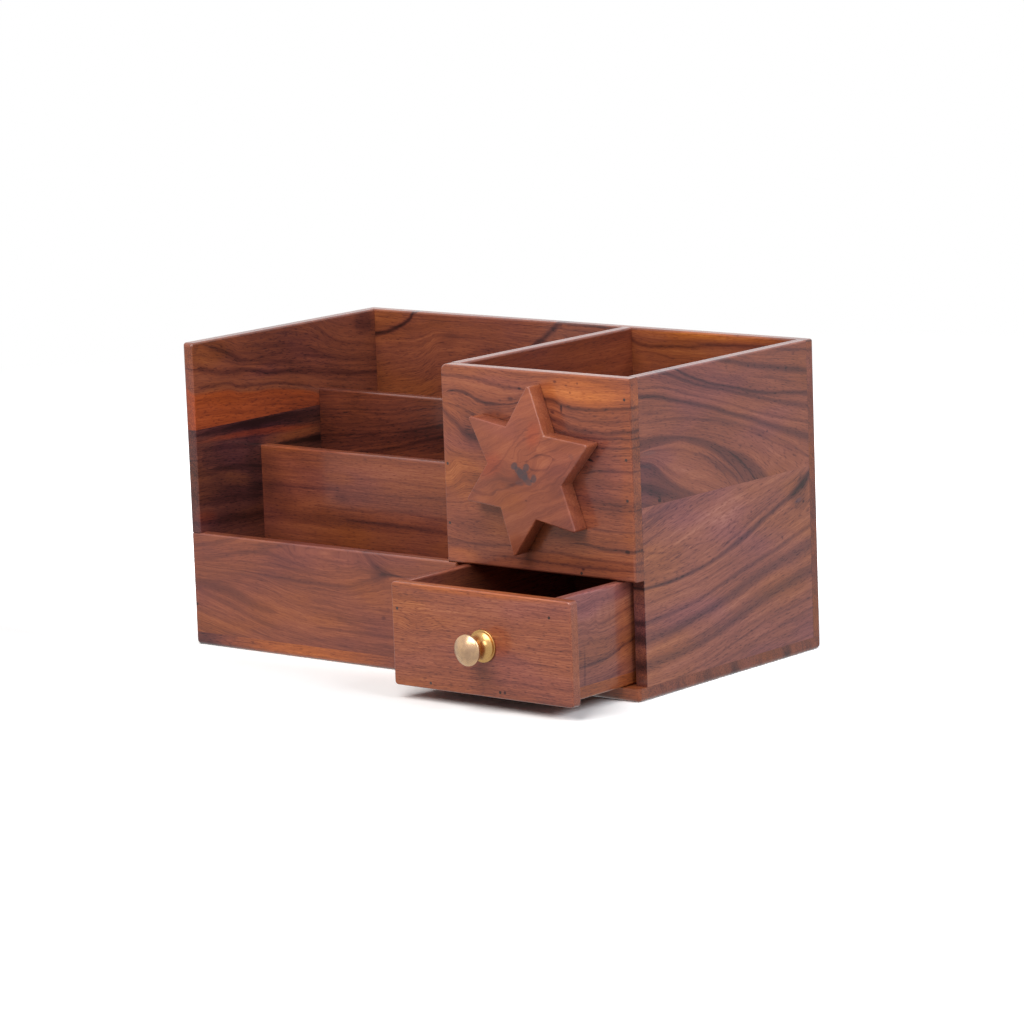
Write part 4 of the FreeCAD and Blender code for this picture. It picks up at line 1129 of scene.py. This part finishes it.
DRAWER_RIGHT_SIDE = WoodCut(
    "drawer_right_side_wood", Grain.UPRIGHT_FRONT_TO_BACK, seed=15.0, wander=0.4, tone=0.04,
    # Painted sheen: the bluer tint stands in for the pale reflection on this right-facing side.
    tint=(1.0, 1.12, 1.6),
    lines=(
        guide(12, (-35, 10), (-15, 11), (0, 13), (69, 20)),
        vein(0.14, (-35, 17, 0.2), (-22, 17.5, 0.5), (-14, 18, 0.9), (-8, 19, 0.7), (0, 21.5, 0.8),
             (69, 36, 0.6), level=19),
        vein(0.16, (-35, 27, 0.3), (-22, 27, 0.3), (-19.5, 27.5, 0.4), (-17, 26, 0.3), (-10, 26.2, 0.2),
             (0, 28, 0.3), (69, 42, 0.3), level=26),
        vein(0.22, (-35, 34, 0.5), (-27, 33.7, 0.6), (-24, 34, 0.6), (-20, 32.6, 0.6), (-16, 33.5, 0.6),
             (-14, 32.2, 0.8), (-9, 32.6, 0.7), (0, 34.5, 0.6), (69, 48, 0.6), level=33),
        vein(0.18, (-35, 40.5, 0.7), (-26, 40.5, 1.1), (-20, 41, 1.0), (-15, 42, 0.8), (-8, 41.5, 0.6),
             (0, 43, 0.7), (69, 56, 0.6), level=40),
        vein(0.14, (-26, 20.6, 0.3), (-12, 20, 0.3), (-5, 22, 0.3), (2, 23.5, 0)),
    ),
    spots=(
        *marks(Mark.DARK, (-23.4, 17, 0.9, 10, 0.16), (-16, 37, 1.2, 6, 0.08), (-11.5, 36.5, 1.2, 6, 0.07),
               (-7.5, 36, 1.0, 6, 0.05)),
        *marks(Mark.GOLDEN, (3, 25, 9, 22, 0.5)),
    ),
)
DRAWER_LEFT_SIDE = WoodCut("drawer_left_side_wood", Grain.UPRIGHT_FRONT_TO_BACK, seed=16.0, tone=0.02)
DRAWER_BACK = WoodCut(
    # Painted shade: the low tone and cool tint darken the back, which lies in shade inside the drawer.
    "drawer_back_wood", Grain.UPRIGHT_LENGTHWISE, seed=17.0, tone=-0.12, tint=(0.8, 0.9, 1.05),
)
DRAWER_BOTTOM = WoodCut(
    "drawer_bottom_wood", Grain.FLAT_FRONT_TO_BACK, seed=18.0, tone=0.06,
    spots=(
        *marks(Mark.GOLDEN, (-20, 225, 60, 12, 0.4)),
        # Painted shade: this broad dark spot darkens the bottom around the case's front, where it lies in
        # shade inside the drawer.
        *marks(Mark.DARK, (0, 180, 80, 42, 0.3, 0.0, 0.4)),
    ),
)


@dataclass(frozen=True)
class PinFinish:
    """A sunk steel pin, filled and varnished over.

    Args:
        name: The finish's name.
        dark: A pin under dark filler.
        steel: A pin that shows.
        pale: A pin under pale filler.
        grit: What grains of dirt multiply the colour by.
        spread: How fast the finish changes from pin to pin, per millimetre.
        steel_fade: Where in its noise a pin starts to show.
        pale_fade: Where in its noise the filler turns pale.
    """

    name: str = "sunk_pin"
    dark: Colour = (0.040, 0.020, 0.016)
    steel: Colour = (0.080, 0.050, 0.045)
    pale: Colour = (0.200, 0.120, 0.095)
    grit: Colour = (0.55, 0.5, 0.5)
    spread: Size = (0.031, 0.027, 0.043)
    steel_fade: Fade = (-0.06, 0.02)
    pale_fade: Fade = (0.10, 0.16)
    metallic: float = 0.35

    def material(self) -> bpy.types.Material:
        """Builds the finish, which differs from pin to pin.

        Returns:
            The material of every pin.
        """
        material, graph = new_material(self.name)
        place = graph.place()
        kind = graph.noise(graph.stretched(place, self.spread), 1.0)
        colour = graph.tinted(graph.faded(kind, *self.steel_fade), self.dark, self.steel)
        colour = graph.tinted(graph.faded(kind, *self.pale_fade), colour, self.pale)
        grit = graph.noise(graph.stretched(place, (4.0, 4.0, 4.0)), 2.0)
        colour = graph.tinted(grit + 0.4, colour, self.grit, "MULTIPLY")
        values = {
            "Base Color": colour,
            "Roughness": grit * 0.3 + 0.45,
            "Normal": graph.bumped(grit * 0.08),
            "Metallic": self.metallic,
        }
        graph.ended(graph.node("ShaderNodeBsdfPrincipled", values=values))
        return material


@dataclass(frozen=True)
class TurnedMetal:
    """Metal turned on a lathe, with fine rings round its axis.

    Args:
        name: The finish's name.
        centre: Where the axis meets the front view, along and up in millimetres.
        colour: The clean metal.
        dull: The metal where it has dulled.
        hidden: The colour behind the head, where no hand rubs it.
        roughness: How rough it is where it is clean.
        ring: The distance between two tool marks, in millimetres.
        speck: What specks of dirt multiply the colour by.
        behind: Where the hidden metal starts and is full, from the case's front inwards.
        dull_fade: Where in its noise the metal starts to dull and is dull.
        speck_fade: Where in its noise a speck starts and is full.
    """

    name: str
    centre: Point
    colour: Colour
    dull: Colour
    hidden: Colour
    roughness: float
    ring: float
    speck: Colour = (0.5, 0.42, 0.36)
    behind: Fade = (-47.5, -45.0)
    dull_fade: Fade = (-0.12, 0.16)
    speck_fade: Fade = (0.16, 0.24)

    def material(self) -> bpy.types.Material:
        """Builds the finish.

        Returns:
            The material.
        """
        material, graph = new_material(self.name)
        place = graph.place()
        x, y, z = graph.parts(place)
        aside, above = x - self.centre[0], z - self.centre[1]
        radius = (aside * aside + above * above).root()
        turned = graph.joined(radius * (1 / self.ring), y * (1 / self.ring), 0.0)
        rings = graph.noise(turned, 2.0)
        tarnish = graph.noise(graph.stretched(place, (0.28, 0.28, 0.28), (3.0, 1.0, 4.0)), 3.0)
        specks = graph.noise(graph.stretched(place, (2.2, 2.2, 2.2)), 1.0)
        specks = graph.faded(specks, *self.speck_fade)
        colour = graph.tinted(graph.faded(tarnish, *self.dull_fade), self.colour, self.dull)
        colour = graph.tinted(graph.faded(y, *self.behind), colour, self.hidden)
        colour = graph.tinted(specks * 0.5, colour, self.speck, "MULTIPLY")
        values = {
            "Base Color": colour,
            "Metallic": 1.0,
            "Roughness": tarnish * 0.22 + rings * 0.10 + self.roughness,
            "Normal": graph.bumped(rings * 0.006 + tarnish * 0.03),
        }
        graph.ended(graph.node("ShaderNodeBsdfPrincipled", values=values))
        return material


def clean_copy(node: bpy.types.Object, name: str) -> bmesh.types.BMesh:
    """A copy of a CAD node's mesh with its loose triangles merged and its flats made whole.

    Args:
        node: The CAD node.
        name: The node's name, for the report.

    Returns:
        The mesh, to be shaped further.
    """
    mesh = bmesh.new()
    mesh.from_mesh(node.data)
    bmesh.ops.remove_doubles(mesh, verts=mesh.verts, dist=TINY)
    flat = math.radians(FLAT_ANGLE)
    bmesh.ops.dissolve_limit(mesh, angle_limit=flat, verts=mesh.verts, edges=mesh.edges)
    bmesh.ops.recalc_face_normals(mesh, faces=mesh.faces)
    LOG.info("%s: %d faces after merging", name, len(mesh.faces))
    return mesh


def made_piece(mesh: bmesh.types.BMesh, name: str, sharp: float = 30.0) -> bpy.types.Object:
    """Ends a mesh as a piece with smooth faces and sharp corners.

    Args:
        mesh: The finished shape, in metres, which is freed.
        name: The piece's name.
        sharp: The angle in degrees from which a corner stays sharp.

    Returns:
        The piece, linked to the scene.
    """
    for face in mesh.faces:
        face.smooth = True
    for edge in mesh.edges:
        edge.smooth = len(edge.link_faces) == 2 and edge.calc_face_angle(0.0) < math.radians(sharp)
    data = bpy.data.meshes.new(name)
    mesh.to_mesh(data)
    mesh.free()
    piece = bpy.data.objects.new(name, data)
    bpy.context.scene.collection.objects.link(piece)
    return piece


@dataclass
class Joinery:
    """The boards and pins of one body, which keep their shapes from the frame.

    Args:
        varnish: The colours and gloss of the wood.
        cuts: Each board's cut of wood, by its node's name.
        pins: The names of the nodes that are pins.
    """

    varnish: Varnish
    cuts: dict[str, WoodCut]
    pins: tuple[str, ...]

    def build(self, nodes: dict[str, bpy.types.Object], pin_finish: bpy.types.Material) -> list[str]:
        """Gives the boards and pins their finishes.

        Args:
            nodes: The CAD nodes by name.
            pin_finish: The material of every pin.

        Returns:
            The names of what was dressed.
        """
        for name, cut in self.cuts.items():
            dress(nodes[name], WoodPainter(cut, self.varnish, *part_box(name)).painted())
        for name in self.pins:
            dress(nodes[name], pin_finish)
        return [*self.cuts, *self.pins]


@dataclass
class Case(Joinery):
    """The letter rack, the pen box and the drawer's bay, with their pins."""

    cuts: dict[str, WoodCut] = field(
        default_factory=lambda: {
            "base_board": BASE_BOARD,
            "back_panel": BACK_PANEL,
            "left_side_lower_board": LEFT_SIDE_LOWER,
            "left_side_upper_board": LEFT_SIDE_UPPER,
            "right_side_lower_board": RIGHT_SIDE_LOWER,
            "right_side_upper_board": RIGHT_SIDE_UPPER,
            "low_front_wall": LOW_WALL,
            "front_divider": FRONT_DIVIDER,
            "rear_divider": REAR_DIVIDER,
            "pen_box_partition": PARTITION,
            "pen_box_floor": PEN_FLOOR,
            "pen_box_front_panel": FRONT_PANEL,
        }
    )
    pins: tuple[str, ...] = ("base_pins", "back_panel_pins", "front_panel_pins", "low_wall_pins")


@dataclass
class Star:
    """The six-pointed star glued to the pen box.

    Args:
        varnish: The colours and gloss of the wood.
        cut: The star's cut of wood.
        edge: How far its sawn corners are rounded off, in metres.
        steps: How many flats round each corner has.
        corner: The angle in degrees from which an edge is a corner to rub down.
        sharp: The angle in degrees from which an edge still looks sharp.
    """

    varnish: Varnish
    cut: WoodCut = STAR
    edge: float = 0.55 * MM
    steps: int = 3
    corner: float = 25
    sharp: float = 35

    def build(self, nodes: dict[str, bpy.types.Object]) -> bpy.types.Object:
        """Shapes the star from its CAD node, with its corners rounded off.

        Args:
            nodes: The CAD nodes by name.

        Returns:
            The star.
        """
        mesh = clean_copy(nodes["star_ornament"], "star")
        corner = math.radians(self.corner)
        corners = [edge for edge in mesh.edges if edge.calc_face_angle(0.0) > corner]
        bmesh.ops.bevel(
            mesh,
            geom=corners,
            offset=self.edge,
            offset_type="OFFSET",
            affect="EDGES",
            segments=self.steps,
            profile=0.5,
            material=-1,
            clamp_overlap=True,
        )
        piece = made_piece(mesh, "carved_star", self.sharp)
        dress(piece, WoodPainter(self.cut, self.varnish, *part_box("star_ornament")).painted())
        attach(piece, "case")
        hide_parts("star_ornament")
        return piece


@dataclass
class Drawer(Joinery):
    """The drawer under the pen box, with its pins and screw."""

    cuts: dict[str, WoodCut] = field(
        default_factory=lambda: {
            "drawer_front": DRAWER_FRONT,
            "drawer_left_side": DRAWER_LEFT_SIDE,
            "drawer_right_side": DRAWER_RIGHT_SIDE,
            "drawer_back": DRAWER_BACK,
            "drawer_bottom": DRAWER_BOTTOM,
        }
    )
    pins: tuple[str, ...] = ("drawer_front_pins", "drawer_box_pins")
    screw: TurnedMetal = TurnedMetal(
        name="screw_steel",
        centre=KNOB_CENTRE,
        colour=(0.55, 0.53, 0.50),
        dull=(0.30, 0.27, 0.25),
        hidden=(0.45, 0.43, 0.40),
        roughness=0.32,
        ring=0.15,
    )

    def build(self, nodes: dict[str, bpy.types.Object], pin_finish: bpy.types.Material) -> list[str]:
        """Gives the boards, the pins and the screw their finishes.

        Args:
            nodes: The CAD nodes by name.
            pin_finish: The material of every pin.

        Returns:
            The names of what was dressed.
        """
        names = super().build(nodes, pin_finish)
        dress(nodes["knob_screw"], self.screw.material())
        return [*names, "knob_screw"]


@dataclass
class Knob:
    """The turned brass knob, whose profile is spun round its axis.

    Sizes are in millimetres. Radii are from the axis, and depths from the
    drawer's face outwards. The waist widens to both sides by the power flare. Its
    curve is drawn to the throat's share and stays the throat's step inside the rim.
    """

    rim_radius: float = 6.15
    projection: float = 12.2
    rim_depth: float = 8.4
    rim_round: float = 0.9
    waist_radius: float = 3.3
    waist_depth: float = 4.9
    flange_radius: float = 6.3
    flange_depth: float = 0.9
    flange_round: float = 0.25
    throat_share: float = 0.94
    throat_step: float = 0.9
    flare: float = 2.4
    rim_start: float = -80
    rim_end: float = 55
    rim_lift_share: float = 1.1
    arc_steps: int = 8
    turns: int = 96
    sharp: float = 40
    brass: TurnedMetal = TurnedMetal(
        name="satin_brass",
        centre=KNOB_CENTRE,
        colour=(0.66, 0.425, 0.245),
        dull=(0.50, 0.32, 0.20),
        hidden=(0.60, 0.35, 0.13),
        roughness=0.27,
        ring=0.10,
    )

    def profile(self) -> list[Point]:
        """Draws the knob's outline.

        Returns:
            Radii and depths, from the drawer's face to the dome's top.
        """
        points: list[Point] = [(0.0, 0.0), (self.flange_radius, 0.0)]
        corner = (self.flange_radius - self.flange_round, self.flange_depth - self.flange_round)
        points += self._arc(corner, self.flange_round, 0, 90)
        points.append((self.flange_radius - 4 * self.flange_round, self.flange_depth))
        span = self.waist_depth - self.flange_depth
        opening = self.rim_radius - self.waist_radius - self.throat_step
        for step in range(1, self.arc_steps * 2):
            share = step / (self.arc_steps * 2)
            depth = self.flange_depth + 2 * span * share * self.throat_share
            reach = abs(depth - self.waist_depth) / span
            points.append((self.waist_radius + opening * reach**self.flare, depth))
        rim = (self.rim_radius - self.rim_round, self.rim_depth + self.rim_round * self.rim_lift_share)
        points += self._arc(rim, self.rim_round, self.rim_start, self.rim_end)
        edge, height = points[-1]
        for step in range(1, self.arc_steps + 1):
            share = step / self.arc_steps
            points.append((edge * (1 - share), height + (self.projection - height) * (1 - (1 - share) ** 2)))
        return points

    def _arc(self, centre: Point, radius: float, start: float, end: float) -> list[Point]:
        """Draws an arc.

        Args:
            centre: Its centre, as radius and depth.
            radius: Its own radius.
            start: Its first angle in degrees.
            end: Its last angle.

        Returns:
            Its points.
        """
        steps = range(self.arc_steps + 1)
        angles = [math.radians(start + (end - start) * step / self.arc_steps) for step in steps]
        return [(centre[0] + radius * math.cos(a), centre[1] + radius * math.sin(a)) for a in angles]

    def build(self) -> bpy.types.Object:
        """Spins the profile where the CAD knob is, and gives it its brass.

        Returns:
            The knob.
        """
        low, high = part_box("drawer_knob")
        axis = Vector(((low.x + high.x) / 2, high.y, (low.z + high.z) / 2))
        mesh = bmesh.new()
        outline = [Vector((radius * MM, -depth * MM, 0.0)) for radius, depth in self.profile()]
        ring = [mesh.verts.new(axis + point) for point in outline]
        edges = [mesh.edges.new(pair) for pair in zip(ring, ring[1:])]
        bmesh.ops.spin(
            mesh,
            geom=[*ring, *edges],
            cent=axis,
            axis=(0.0, 1.0, 0.0),
            angle=2 * math.pi,
            steps=self.turns,
            use_merge=True,
            use_duplicate=False,
        )
        bmesh.ops.remove_doubles(mesh, verts=mesh.verts, dist=TINY)
        bmesh.ops.recalc_face_normals(mesh, faces=mesh.faces)
        piece = made_piece(mesh, "turned_knob", self.sharp)
        dress(piece, self.brass.material())
        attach(piece, "drawer")
        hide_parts("drawer_knob")
        return piece


@dataclass(frozen=True)
class Lamp:
    """A soft square lamp. Places and size are in metres."""

    name: str
    place: Vector
    aim: Vector
    size: float
    power: float
    colour: Colour

    def build(self) -> bpy.types.Object:
        """Hangs the lamp and turns it to its aim.

        Returns:
            The lamp.
        """
        data = bpy.data.lights.new(self.name, "AREA")
        data.shape = "SQUARE"
        data.size = self.size
        data.energy = self.power
        data.color = self.colour
        lamp = bpy.data.objects.new(self.name, data)
        lamp.location = self.place
        lamp.rotation_euler = (self.aim - self.place).to_track_quat("-Z", "Y").to_euler()
        bpy.context.scene.collection.objects.link(lamp)
        return lamp


@dataclass
class Studio:
    """The floor, the lamps and the camera.

    Args:
        camera_place: Where the camera stands, in metres.
        camera_axes: Its right, down and forward directions.
        lens: Its focal length in millimetres.
        sensor: Its sensor's width in millimetres.
        sky: How bright the white surroundings are for diffuse light.
        sky_tint: Their colour.
        floor_size: The floor's side in metres.
        floor_gap: How far it lies below the base, in metres.
        floor_seen: The floor's colour for the camera before the object and far off, which the
            light turns white.
        floor_mirrored: How bright it is in reflections.
        floor_lit: Its colour for all other light.
        far: How far out the floor starts to pale and is pale, in metres.
        behind: Where the floor starts to pale and is half pale towards the back, in metres; this is painted
            light that washes out the object's shadow there.
        glowing: How far out the floor starts to glow by itself and does so fully, in metres.
        fresh: What shows in mirrors, by how often a ray has met a matt surface: none or once.
        lamps: The lamps.
    """

    camera_place: Vector
    camera_axes: tuple[Vector, Vector, Vector]
    lens: float = 167.2
    sensor: float = 36.0
    sky: float = 0.16
    sky_tint: Colour = (1.0, 0.985, 1.0)
    floor_size: float = 12.0
    floor_gap: float = 0.05 * MM
    floor_seen: Point = (1.12, 4.5)
    floor_mirrored: float = 0.8
    floor_lit: float = 0.8
    far: Fade = (0.2, 1.2)
    behind: Fade = (-0.08, 0.0)
    glowing: Fade = (0.5, 0.9)
    fresh: Fade = (0.6, 0.4)
    lamps: tuple[Lamp, ...] = ()

    def build(self) -> None:
        """Sets the floor, the surroundings, the lamps and the camera."""
        self._lay_floor()
        self._light_world()
        for lamp in self.lamps:
            lamp.build()
        self._place_camera()
        bpy.context.scene.view_settings.view_transform = "Standard"

    def _lay_floor(self) -> None:
        """Lays a plain pale floor just under the base."""
        mesh = bmesh.new()
        bmesh.ops.create_grid(mesh, x_segments=1, y_segments=1, size=self.floor_size / 2)
        bmesh.ops.translate(mesh, verts=mesh.verts, vec=(0.0, 0.0, -self.floor_gap))
        floor = made_piece(mesh, "floor")
        material, graph = new_material("studio_floor")
        path = graph.add("ShaderNodeLightPath")
        seen = Wire(graph, path.outputs["Is Camera Ray"])
        x, y, _ = graph.parts(graph.node("ShaderNodeTexCoord", output="Object"))
        away = (x * x + y * y).root()
        # Painted light: the floor is made paler towards the back, so that the object's shadow there turns
        # white.
        behind = graph.faded(away, *self.far).most(graph.faded(y, *self.behind, 0.0, 0.5))
        near, distant = self.floor_seen
        pale = graph.tinted(behind, (near,) * 3, (distant,) * 3)
        colour = graph.tinted(seen, (self.floor_lit,) * 3, pale)
        glossy, clear = (Wire(graph, path.outputs[f"Is {kind} Ray"]) for kind in ("Glossy", "Transmission"))
        mirrored = glossy.most(clear) * graph.faded(Wire(graph, path.outputs["Diffuse Depth"]), *self.fresh)
        cloth = graph.node("ShaderNodeBsdfDiffuse", values={"Color": colour})
        light = graph.tinted(seen, (self.floor_mirrored,) * 3, (1.0, 1.0, 1.0))
        glow = graph.node("ShaderNodeEmission", values={"Color": light})
        glowing = seen * graph.faded(away, *self.glowing) + mirrored
        graph.ended(graph.node("ShaderNodeMixShader", values={0: glowing, 1: cloth, 2: glow}))
        dress(floor, material)

    def _light_world(self) -> None:
        """Makes the surroundings white, and softer as a light than as a backdrop."""
        world = bpy.data.worlds.new("studio")
        world.use_nodes = True
        graph = Graph(world.node_tree)
        path = graph.add("ShaderNodeLightPath")
        kinds = ("Camera", "Glossy", "Transmission")
        camera, glossy, clear = (Wire(graph, path.outputs[f"Is {kind} Ray"]) for kind in kinds)
        seen = camera.most(glossy).most(clear)
        seen = seen * graph.faded(Wire(graph, path.outputs["Diffuse Depth"]), *self.fresh)
        values = {"Color": (*self.sky_tint, 1.0), "Strength": seen * (1.0 - self.sky) + self.sky}
        graph.ended(graph.node("ShaderNodeBackground", values=values), "ShaderNodeOutputWorld")
        bpy.context.scene.world = world

    def _place_camera(self) -> None:
        """Puts the camera at the photograph's angle."""
        right, down, forward = self.camera_axes
        data = bpy.data.cameras.new("camera")
        data.lens = self.lens
        data.sensor_width = self.sensor
        camera = bpy.data.objects.new("camera", data)
        turn = Matrix((right, -down, -forward)).transposed().to_4x4()
        camera.matrix_world = Matrix.Translation(self.camera_place) @ turn
        bpy.context.scene.collection.objects.link(camera)
        bpy.context.scene.camera = camera


STUDIO = Studio(
    camera_place=Vector((1.20169, -1.44183, 0.38257)),
    camera_axes=(
        Vector((0.77340997, 0.63286489, -0.03631868)),
        Vector((0.08143178, -0.15600805, -0.98439339)),
        Vector((-0.62865402, 0.75838218, -0.17219349)),
    ),
    lamps=(
        Lamp("key", Vector((0.10, -1.10, 1.30)), Vector((0.0, 0.0, 0.06)), 1.2, 26.0, (1.0, 0.98, 0.96)),
        Lamp("side", Vector((1.35, 0.0, 1.10)), Vector((0.0, 0.0, 0.06)), 1.0, 14.0, (0.86, 0.94, 1.0)),
    ),
)


def report(names: Sequence[str]) -> None:
    """Says in the log which pieces are dressed."""
    for name in names:
        LOG.info("%s: dressed", name)


def main() -> None:
    """Loads the frame, dresses every piece, and sets the studio."""
    logging.basicConfig(level=logging.INFO, format="%(message)s")
    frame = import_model()
    nodes = frame["nodes"]
    varnish = Varnish()
    pin_finish = PinFinish().material()
    report(Case(varnish).build(nodes, pin_finish))
    report(Drawer(varnish).build(nodes, pin_finish))
    report([Star(varnish).build(nodes).name, Knob().build().name])
    STUDIO.build()


if __name__ == "__main__":
    main()
